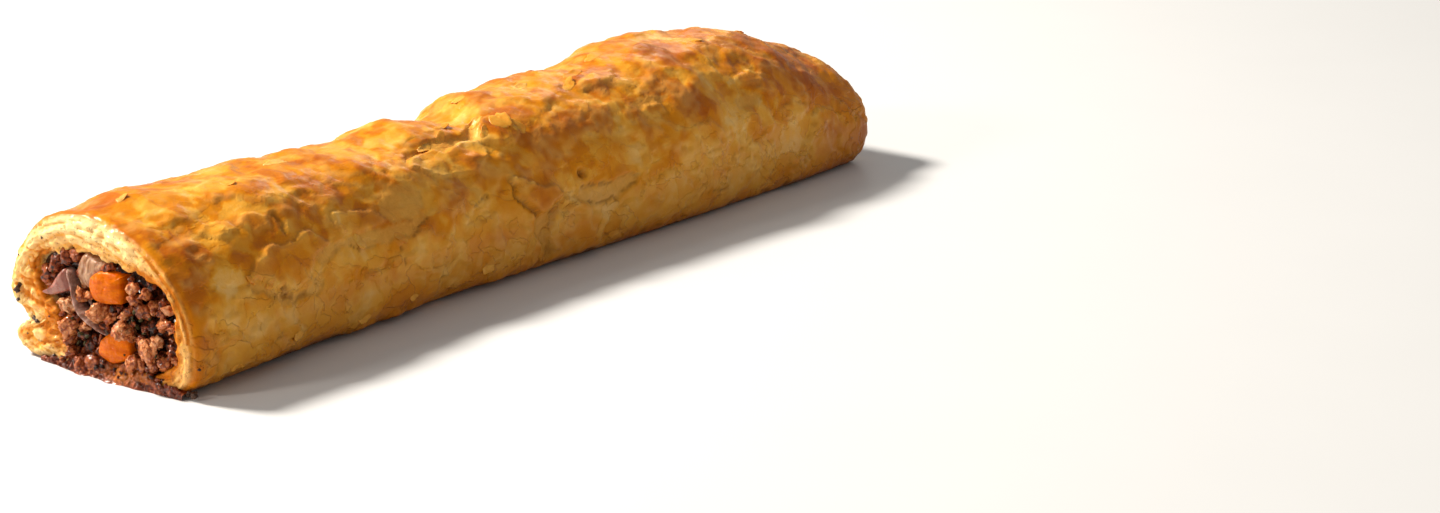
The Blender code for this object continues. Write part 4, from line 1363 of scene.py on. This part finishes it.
def bent_strip(name, path, width_mm, thick_mm, twist=0.0, seed=0):
    """An oval tube along a smooth path of (x, y, z), thinner towards both ends."""
    path = np.asarray(path, float)
    share = np.linspace(0, 1, 70)
    line = np.stack([np.interp(share, np.linspace(0, 1, len(path)), path[:, k]) for k in range(3)], axis=1)
    for _ in range(12):
        line[1:-1] = 0.25 * line[:-2] + 0.5 * line[1:-1] + 0.25 * line[2:]
    ahead = np.gradient(line, axis=0)
    ahead /= np.linalg.norm(ahead, axis=1)[:, None]
    side = np.cross(ahead, np.array([0.0, 1.0, 0.0]))
    side /= np.linalg.norm(side, axis=1)[:, None]
    other = np.cross(ahead, side)
    turn = np.arange(40) * 2 * math.pi / 40
    taper = np.clip(np.sin(np.pi * np.clip(share, 0.01, 0.99)) ** 0.45, 0.12, 1)[:, None, None]
    angle = (turn + twist)[None, :, None]
    across = side[:, None] * np.cos(angle) * thick_mm + other[:, None] * np.sin(angle) * width_mm
    points = line[:, None] + 0.5 * taper * across
    points += 0.1 * np.stack([layered_noise(points + 20.0 * k, 2.0, 421 + seed + k) for k in range(3)], axis=-1)
    return mesh_from(name, points, torus_faces(*points.shape[:2]))


# %% Carrot chunks
near_y = cut_y("near", core_angles).mean()
far_y = cut_y("far", core_angles).mean()
carrots = {
    "carrot_upper": chunk(
        "carrot_upper_chunk",
        ((-1.4, 17.6), (-0.8, 19.2), (0.8, 20.4), (2.9, 21.0), (5.0, 20.9), (6.3, 20.4), (6.6, 20.0), (6.7, 17.4),
         (6.4, 15.6), (6.0, 15.1), (2.9, 14.6), (0.2, 14.7), (-0.8, 15.4)),
        near_y - 0.9, 6.0, 0.4, 0.2, ridge=(0.09, -0.05), bumps=0.1, seed=1,
    ),
    "carrot_lower": chunk(
        "carrot_lower_chunk",
        ((0.0, 5.0), (0.8, 4.0), (3.4, 3.3), (6.4, 4.2), (7.9, 5.2), (8.0, 7.4), (7.8, 9.2), (6.4, 9.8),
         (3.6, 9.2), (1.6, 8.0), (0.4, 6.6)),
        near_y - 0.7, 5.6, 0.4, 0.2, ridge=(0.09, -0.03), bumps=0.1, seed=2,
    ),
    "carrot_far": chunk(
        "carrot_far_chunk",
        ((-8.2, 9.6), (-3.8, 8.8), (0.8, 10.6), (1.4, 13.6), (-2.6, 15.4), (-7.4, 14.2)),
        far_y + 0.3, 5.6, 1.0, 0.6, seed=3,
    ),
}
print("carrot chunks:", len(carrots))

# %% Onion pieces
onions = {
    "onion_petal": chunk(
        "onion_petal_wedge",
        ((-15.0, 13.7), (-12.4, 15.3), (-10.6, 17.6), (-8.6, 19.3), (-7.4, 17.6), (-6.9, 15.6), (-9.2, 14.6), (-12.2, 13.6)),
        near_y - 0.5, 3.6, 0.5, 0.5, ridge=(0.1, -0.06), bumps=0.08, seed=4,
    ),
    "onion_dice": chunk(
        "onion_dice_chunk",
        ((-5.3, 19.6), (-4.6, 17.2), (-1.8, 16.6), (0.2, 18.8), (2.6, 20.6), (3.4, 22.4), (0.2, 22.6), (-3.2, 23.2)),
        near_y + 0.1, 4.4, 1.1, 0.8, ridge=(0.1, 0.0), bumps=0.22, seed=5,
    ),
    "onion_strip": bent_strip(
        "onion_strip_bent",
        ((-8.6, near_y + 1.8, 19.2), (-6.8, near_y + 0.1, 18.9), (-5.9, near_y + 0.3, 16.2), (-4.6, near_y - 0.2, 13.2),
         (-2.6, near_y - 0.6, 11.6), (-0.2, near_y - 0.7, 10.2), (2.6, near_y - 0.2, 8.6)),
        3.3, 1.1, seed=6,
    ),
    "onion_far": chunk(
        "onion_far_wedge",
        ((4.4, 5.6), (8.2, 5.2), (12.2, 7.2), (12.4, 9.4), (9.0, 10.2), (5.4, 8.8)),
        far_y + 0.2, 4.8, 0.9, 0.5, seed=7,
    ),
}
print("onion pieces:", len(onions))

# %% [markdown]
# ## Finishes for the vegetables
# Cooked carrot is a deep, even orange with a wet shine; its only markings are faint fibres and darker
# blotches. Cooked onion is half clear: mauve-grey flesh with paler edges and long fine veins, so it lets more light
# in than anything else here. Both get blotches of brown juice where noise puts them.

# %% Carrot material
orange = Finish("cooked_carrot", Specular_IOR_Level=0.18, Subsurface_Weight=0.1, Subsurface_Scale=0.0015)
orange.shader.inputs["Subsurface Radius"].default_value = (1.0, 0.35, 0.05)
orange.shader.inputs["Specular Tint"].default_value = (1.0, 0.6, 0.2, 1.0)
orange.shader.inputs["Coat Weight"].default_value = 0.04
orange.shader.inputs["Coat Roughness"].default_value = 0.05
carrot_fibres = orange.between(orange.noise(1.6, 3.0, 0.6, stretch=(0.5, 0.5, 1.6)), 0.3, 0.7)
carrot_colour = orange.mix(carrot_fibres, (0.54, 0.08, 0.0), (0.72, 0.158, 0.0))
carrot_blotch = orange.between(orange.noise(2.6, 3.0, 0.6, shift=0.4), 0.56, 0.72)
carrot_colour = orange.mix(orange.sum("MULTIPLY", carrot_blotch, 0.45), carrot_colour, (0.42, 0.07, 0.006))
orange.bump(orange.noise(0.9, 3.0, 0.6), 0.2)
carrot_finish = orange.finish(carrot_colour, orange.between(orange.noise(1.5, 2.0, shift=0.9), 0.3, 0.7, 0.24, 0.45))
for piece in carrots.values():
    piece.data.materials.append(carrot_finish)
print("carrot finished")

# %% Onion materials
ONION_TINTS = {
    "onion_petal": ((0.22, 0.062, 0.042), (0.36, 0.155, 0.115)),
    "onion_dice": ((0.24, 0.095, 0.035), (0.54, 0.31, 0.18)),
    "onion_strip": ((0.20, 0.10, 0.07), (0.46, 0.29, 0.23)),
    "onion_far": ((0.40, 0.22, 0.14), (0.66, 0.46, 0.34)),
}
for node_name, (dark, light) in ONION_TINTS.items():
    clear = Finish(node_name + "_flesh", Specular_IOR_Level=0.2, Subsurface_Weight=0.3, Subsurface_Scale=0.0015)
    clear.shader.inputs["Coat Weight"].default_value = 0.25
    clear.shader.inputs["Coat Roughness"].default_value = 0.06
    veins = clear.between(clear.noise(1.4, 3.0, 0.6, stretch=(1.6, 0.6, 0.5), twist=0.4), 0.32, 0.68)
    flesh = clear.mix(veins, dark, light)
    smear = clear.between(clear.noise(2.0, 3.0, 0.6, shift=0.8), 0.55, 0.7)
    flesh = clear.mix(clear.sum("MULTIPLY", smear, 0.4), flesh, (0.16, 0.05, 0.02))
    clear.bump(clear.noise(0.8, 3.0, 0.6, stretch=(1.5, 0.7, 0.6)), 0.14)
    onion_finish = clear.finish(flesh, clear.between(clear.noise(1.2, 2.0), 0.3, 0.7, 0.2, 0.4))
    onions[node_name].data.materials.append(onion_finish)
print("onion finished")

# %% [markdown]
# ## Juice, herbs and burnt specks
# Meat juice and fat ran out of the near cut while it baked, and set as a dark, sticky skirt along its foot. It is
# a grid that starts inside the hole, hangs over the rim and ends on the floor a few millimetres in front. Dried
# herbs are curled scraps about a millimetre long. Burnt specks are small, rough, nearly black lumps on the rim.

# %% The juice's skirt
# Along the foot: x, how far it runs out in front, and how high it starts on the cut, in mm.
SKIRT = (
    (-16.4, 0.0, 0.1), (-14.5, 0.1, 0.3), (-12.0, 0.2, 0.5), (-10.0, 0.6, 1.1), (-7.5, 1.3, 2.4),
    (-3.0, 1.8, 2.7), (2.0, 1.9, 2.7), (6.5, 1.5, 2.7), (10.5, 0.9, 2.8), (14.0, 0.4, 2.0),
    (18.0, 0.2, 1.3), (20.5, 0.1, 1.1), (22.0, 0.0, 0.3),
)
SKIRT_COLUMNS = 240
SKIRT_ROWS = 46
skirt_x, skirt_reach, skirt_top = np.array(SKIRT).T
along_x = np.linspace(skirt_x[0], skirt_x[-1], SKIRT_COLUMNS)
reach = np.interp(along_x, skirt_x, skirt_reach)
reach = reach * (1 + 0.3 * layered_noise(np.stack([along_x, along_x * 0, along_x * 0], axis=-1), 3.0, 501))
top = np.interp(along_x, skirt_x, skirt_top)
down = np.linspace(0, 1, SKIRT_ROWS)[:, None]
face_part = np.clip(down / 0.45, 0, 1)
foot_part = np.clip((down - 0.3) / 0.7, 0, 1)
foot_angles = np.mod(np.arctan2(1.0 - HEART_Z, along_x - HEART_X), 2 * math.pi)
foot_y = blurred(face_y("near", np.full(SKIRT_COLUMNS, 0.5), foot_angles)[None, :], 2)[0]
skirt_y = foot_y + 2.4 * (1 - face_part) ** 1.5 - 0.35 - reach * foot_part**1.3
print("foot of the cut, y in mm:", np.round(foot_y[::40], 1), "and the hole's edge", round(float(near_y), 1))
skirt_z = (top + 0.9) * (1 - foot_part) ** 1.6 * (1 - 0.12 * face_part) + 0.05
skirt_points = np.stack([along_x * np.ones_like(skirt_y), skirt_y, skirt_z * np.ones_like(skirt_y)], axis=-1)
drop_near, drop_next, _ = cell_noise(skirt_points, 1.5, 503)
bubbles = 0.35 * step_up(drop_next - drop_near, 0.0, 0.5) + 0.8 * layered_noise(skirt_points, 2.2, 505)
thick = np.clip(1 - foot_part, 0.0, 1.0) ** 0.5 * step_up(np.minimum(along_x - along_x[0], along_x[-1] - along_x), 0.0, 2.0)
skirt_points[..., 1] -= bubbles * thick * 0.8
skirt_points[..., 2] = np.maximum(skirt_points[..., 2] + 0.6 * bubbles * thick, 0.02)
row, column = np.meshgrid(np.arange(SKIRT_ROWS - 1), np.arange(SKIRT_COLUMNS - 1), indexing="ij")
first = row * SKIRT_COLUMNS + column
skirt_faces = np.stack([first, first + SKIRT_COLUMNS, first + SKIRT_COLUMNS + 1, first + 1], axis=-1).reshape(-1, 4)
skirt = mesh_from("juice_skirt", skirt_points, skirt_faces)
fatty = np.exp(-(((skirt_points[..., 0] - 5.6) / 3.2) ** 2) - ((skirt_points[..., 2] - 1.8) / 1.3) ** 2)
fatty = np.clip(fatty + 0.5 * np.exp(-(((skirt_points[..., 0] - 12.0) / 2.0) ** 2)) * (skirt_points[..., 2] > 1.4), 0, 1)
paint(skirt, "fat", fatty)
print("juice runs out, mm:", round(float(near_y - skirt_points[..., 1].min()), 1))

# %% Juice material
sticky = Finish("set_juice", Specular_IOR_Level=0.15, Coat_Weight=0.4)
sticky.shader.inputs["Specular Tint"].default_value = (1.0, 0.7, 0.5, 1.0)
sticky.shader.inputs["Coat Roughness"].default_value = 0.06
juice_mottle = sticky.noise(0.9, 4.0, 0.65)
juice_colour = sticky.ramp(
    sticky.between(juice_mottle, 0.28, 0.72),
    ((0.0, (0.03, 0.004, 0.001)), (0.5, (0.15, 0.019, 0.004)), (0.85, (0.34, 0.07, 0.018)), (1.0, (0.6, 0.26, 0.12))),
)
juice_colour = sticky.mix(sticky.sum("MULTIPLY", sticky.stored("fat"), 0.85), juice_colour, (0.62, 0.18, 0.006))
sticky.bump(sticky.noise(0.6, 4.0, 0.65), 0.3)
skirt.data.materials.append(sticky.finish(juice_colour, sticky.between(juice_mottle, 0.3, 0.7, 0.16, 0.4)))
print("juice finished")

# %% Herbs and burnt specks
HERBS = (
    (10.4, 13.4, 1.3), (11.6, 12.2, 1.1), (12.6, 13.6, 1.0), (10.9, 14.9, 0.9), (13.2, 11.2, 0.9), (9.6, 12.6, 0.8),
    (-4.0, 7.8, 1.3), (-3.1, 6.2, 1.2), (-4.8, 6.0, 1.1), (-2.4, 7.6, 0.9), (14.9, 14.3, 0.8), (0.6, 14.0, 0.6),
    (-11.0, 18.6, 0.8), (16.0, 7.4, 0.8), (-6.2, 10.4, 0.7), (7.6, 6.0, 0.6),
)
BURNT = (
    (-22.2, 12.9, 1.6), (-22.0, 13.8, 1.1), (-21.9, 11.0, 0.8), (-18.2, 7.8, 1.5), (-17.3, 7.5, 1.0), (-21.8, 19.6, 0.5),
    (-14.0, 24.5, 0.7), (-13.2, 6.6, 0.5), (-22.4, 17.8, 0.5), (23.6, 1.1, 1.5), (22.2, 0.9, 1.3), (20.6, 0.8, 1.1),
    (25.4, 6.3, 0.7), (-20.4, 4.4, 0.5), (-12.9, 9.4, 0.4), (-16.0, 8.9, 0.4),
)
speck_maker = np.random.default_rng(71)
herb_points = [lump_of((x, near_y - 0.9, z), size, speck_maker, 0.8, 1.0) for x, z, size in HERBS]
herbs = mesh_from("herb_flecks", *many(herb_points, BALL_FACES))
crust_tree = BVHTree.FromPolygons(CRUST.reshape(-1, 3).tolist(), torus_faces(*ALONG.shape).tolist())
burnt_points = []
for x, z, size in BURNT:
    place, _, _, _ = crust_tree.ray_cast(Vector((x, BOX_LOW[1] - 20.0, max(z, 0.6))), Vector((0.0, 1.0, 0.0)))
    y = place.y if place is not None and place.y < near_y + 8.0 else near_y + 1.0
    burnt_points.append(lump_of((x, y, max(z, 0.6)), size, speck_maker))
specks = mesh_from("burnt_specks", *many(burnt_points, BALL_FACES))
print("herbs:", len(HERBS), "burnt specks:", len(BURNT))

# %% Their finishes
leafy = Finish("dried_herb", Specular_IOR_Level=0.12)
leaf_colour = leafy.mix(leafy.noise(0.5, 3.0), (0.02, 0.016, 0.005), (0.085, 0.066, 0.02))
leafy.bump(leafy.noise(0.4, 3.0), 0.15)
herbs.data.materials.append(leafy.finish(leaf_colour, 0.5))
charred = Finish("burnt_crumb", Specular_IOR_Level=0.4)
charred_colour = charred.mix(charred.noise(0.5, 3.0), (0.012, 0.006, 0.004), (0.12, 0.045, 0.018))
charred.bump(charred.noise(0.4, 3.0), 0.25)
specks.data.materials.append(charred.finish(charred_colour, 0.45))
print("flecks finished")

# %% [markdown]
# ## Floor, light and camera
# The roll stands on a plain pale floor. The main light is a warm lamp, high on the left and a little in front,
# so that the blisters of the top catch it and the near side lies in soft shade. A weaker lamp, low in front like
# a window, lights the filling, a faint one behind picks out the crest, and an even sky fills in the shade.

# %% Floor
floor = mesh_from("floor", [(-3000, -3000, 0), (3000, -3000, 0), (3000, 3000, 0), (-3000, 3000, 0)], [(0, 1, 2, 3)])
pale = Finish("pale_floor")
speckle = pale.noise(40.0, 2.0)
floor.data.materials.append(pale.finish(pale.mix(speckle, (0.72, 0.718, 0.715), (0.74, 0.738, 0.735)), 0.6))
print("floor laid")

# %% Light
FACING = Vector((0.0, 0.0, 16.0)) * MM


def lamp(name, way, distance_mm, size_mm, power, colour):
    light = bpy.data.lights.new(name, "AREA")
    light.shape = "DISK"
    light.size = size_mm * MM
    light.energy = power
    light.color = colour
    made = bpy.data.objects.new(name, light)
    made.location = FACING + Vector(way).normalized() * distance_mm * MM
    made.rotation_euler = Vector(way).to_track_quat("Z", "Y").to_euler()
    bpy.context.scene.collection.objects.link(made)
    return made


lamp("key", (-0.70, -0.26, 0.72), 1100, 200, 23.8, (1.0, 0.95, 0.87))
lamp("window", (-0.32, -0.9, 0.42), 1100, 180, 3.3, (1.0, 0.94, 0.85))
lamp("rim_light", (-0.5, 0.8, 0.42), 1100, 260, 0.5, (1.0, 0.93, 0.82))
sky = bpy.data.worlds.new("sky")
sky.use_nodes = True
sky.node_tree.nodes["Background"].inputs["Color"].default_value = (1.0, 0.985, 0.965, 1.0)
sky.node_tree.nodes["Background"].inputs["Strength"].default_value = 0.31
bpy.context.scene.world = sky
bpy.context.scene.view_settings.view_transform = "Standard"
print("lit")

# %% Camera
CAMERA_AROUND = math.radians(37.53)
CAMERA_UP = math.radians(16.61)
camera_way = Vector((
    math.sin(CAMERA_AROUND) * math.cos(CAMERA_UP),
    -math.cos(CAMERA_AROUND) * math.cos(CAMERA_UP),
    math.sin(CAMERA_UP),
))
lens = bpy.data.cameras.new("camera")
lens.lens = 77.62
lens.sensor_width = 36.0
camera = bpy.data.objects.new("camera", lens)
camera.location = Vector((423.05, BOX_LOW[1] - 361.97, 185.9)) * MM
camera.rotation_euler = camera_way.to_track_quat("Z", "Y").to_euler()
bpy.context.scene.collection.objects.link(camera)
bpy.context.scene.camera = camera
print("camera, mm:", [round(v / MM) for v in camera.location])

# %% [markdown]
# ## Tying the pieces to the solid model
# Each piece is tied to the body it moves with, and the solid parts that the pieces stand in for are hidden.

# %% Riding and replacing
everything = [crust, flakes, specks, core, near_mince, far_mince, skirt, herbs, *carrots.values(), *onions.values()]
for piece in everything:
    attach(piece, "root")
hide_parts("pastry")
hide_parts("filling")
for node_name, piece in (carrots | onions).items():
    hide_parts(node_name)
print("pieces:", len(everything))
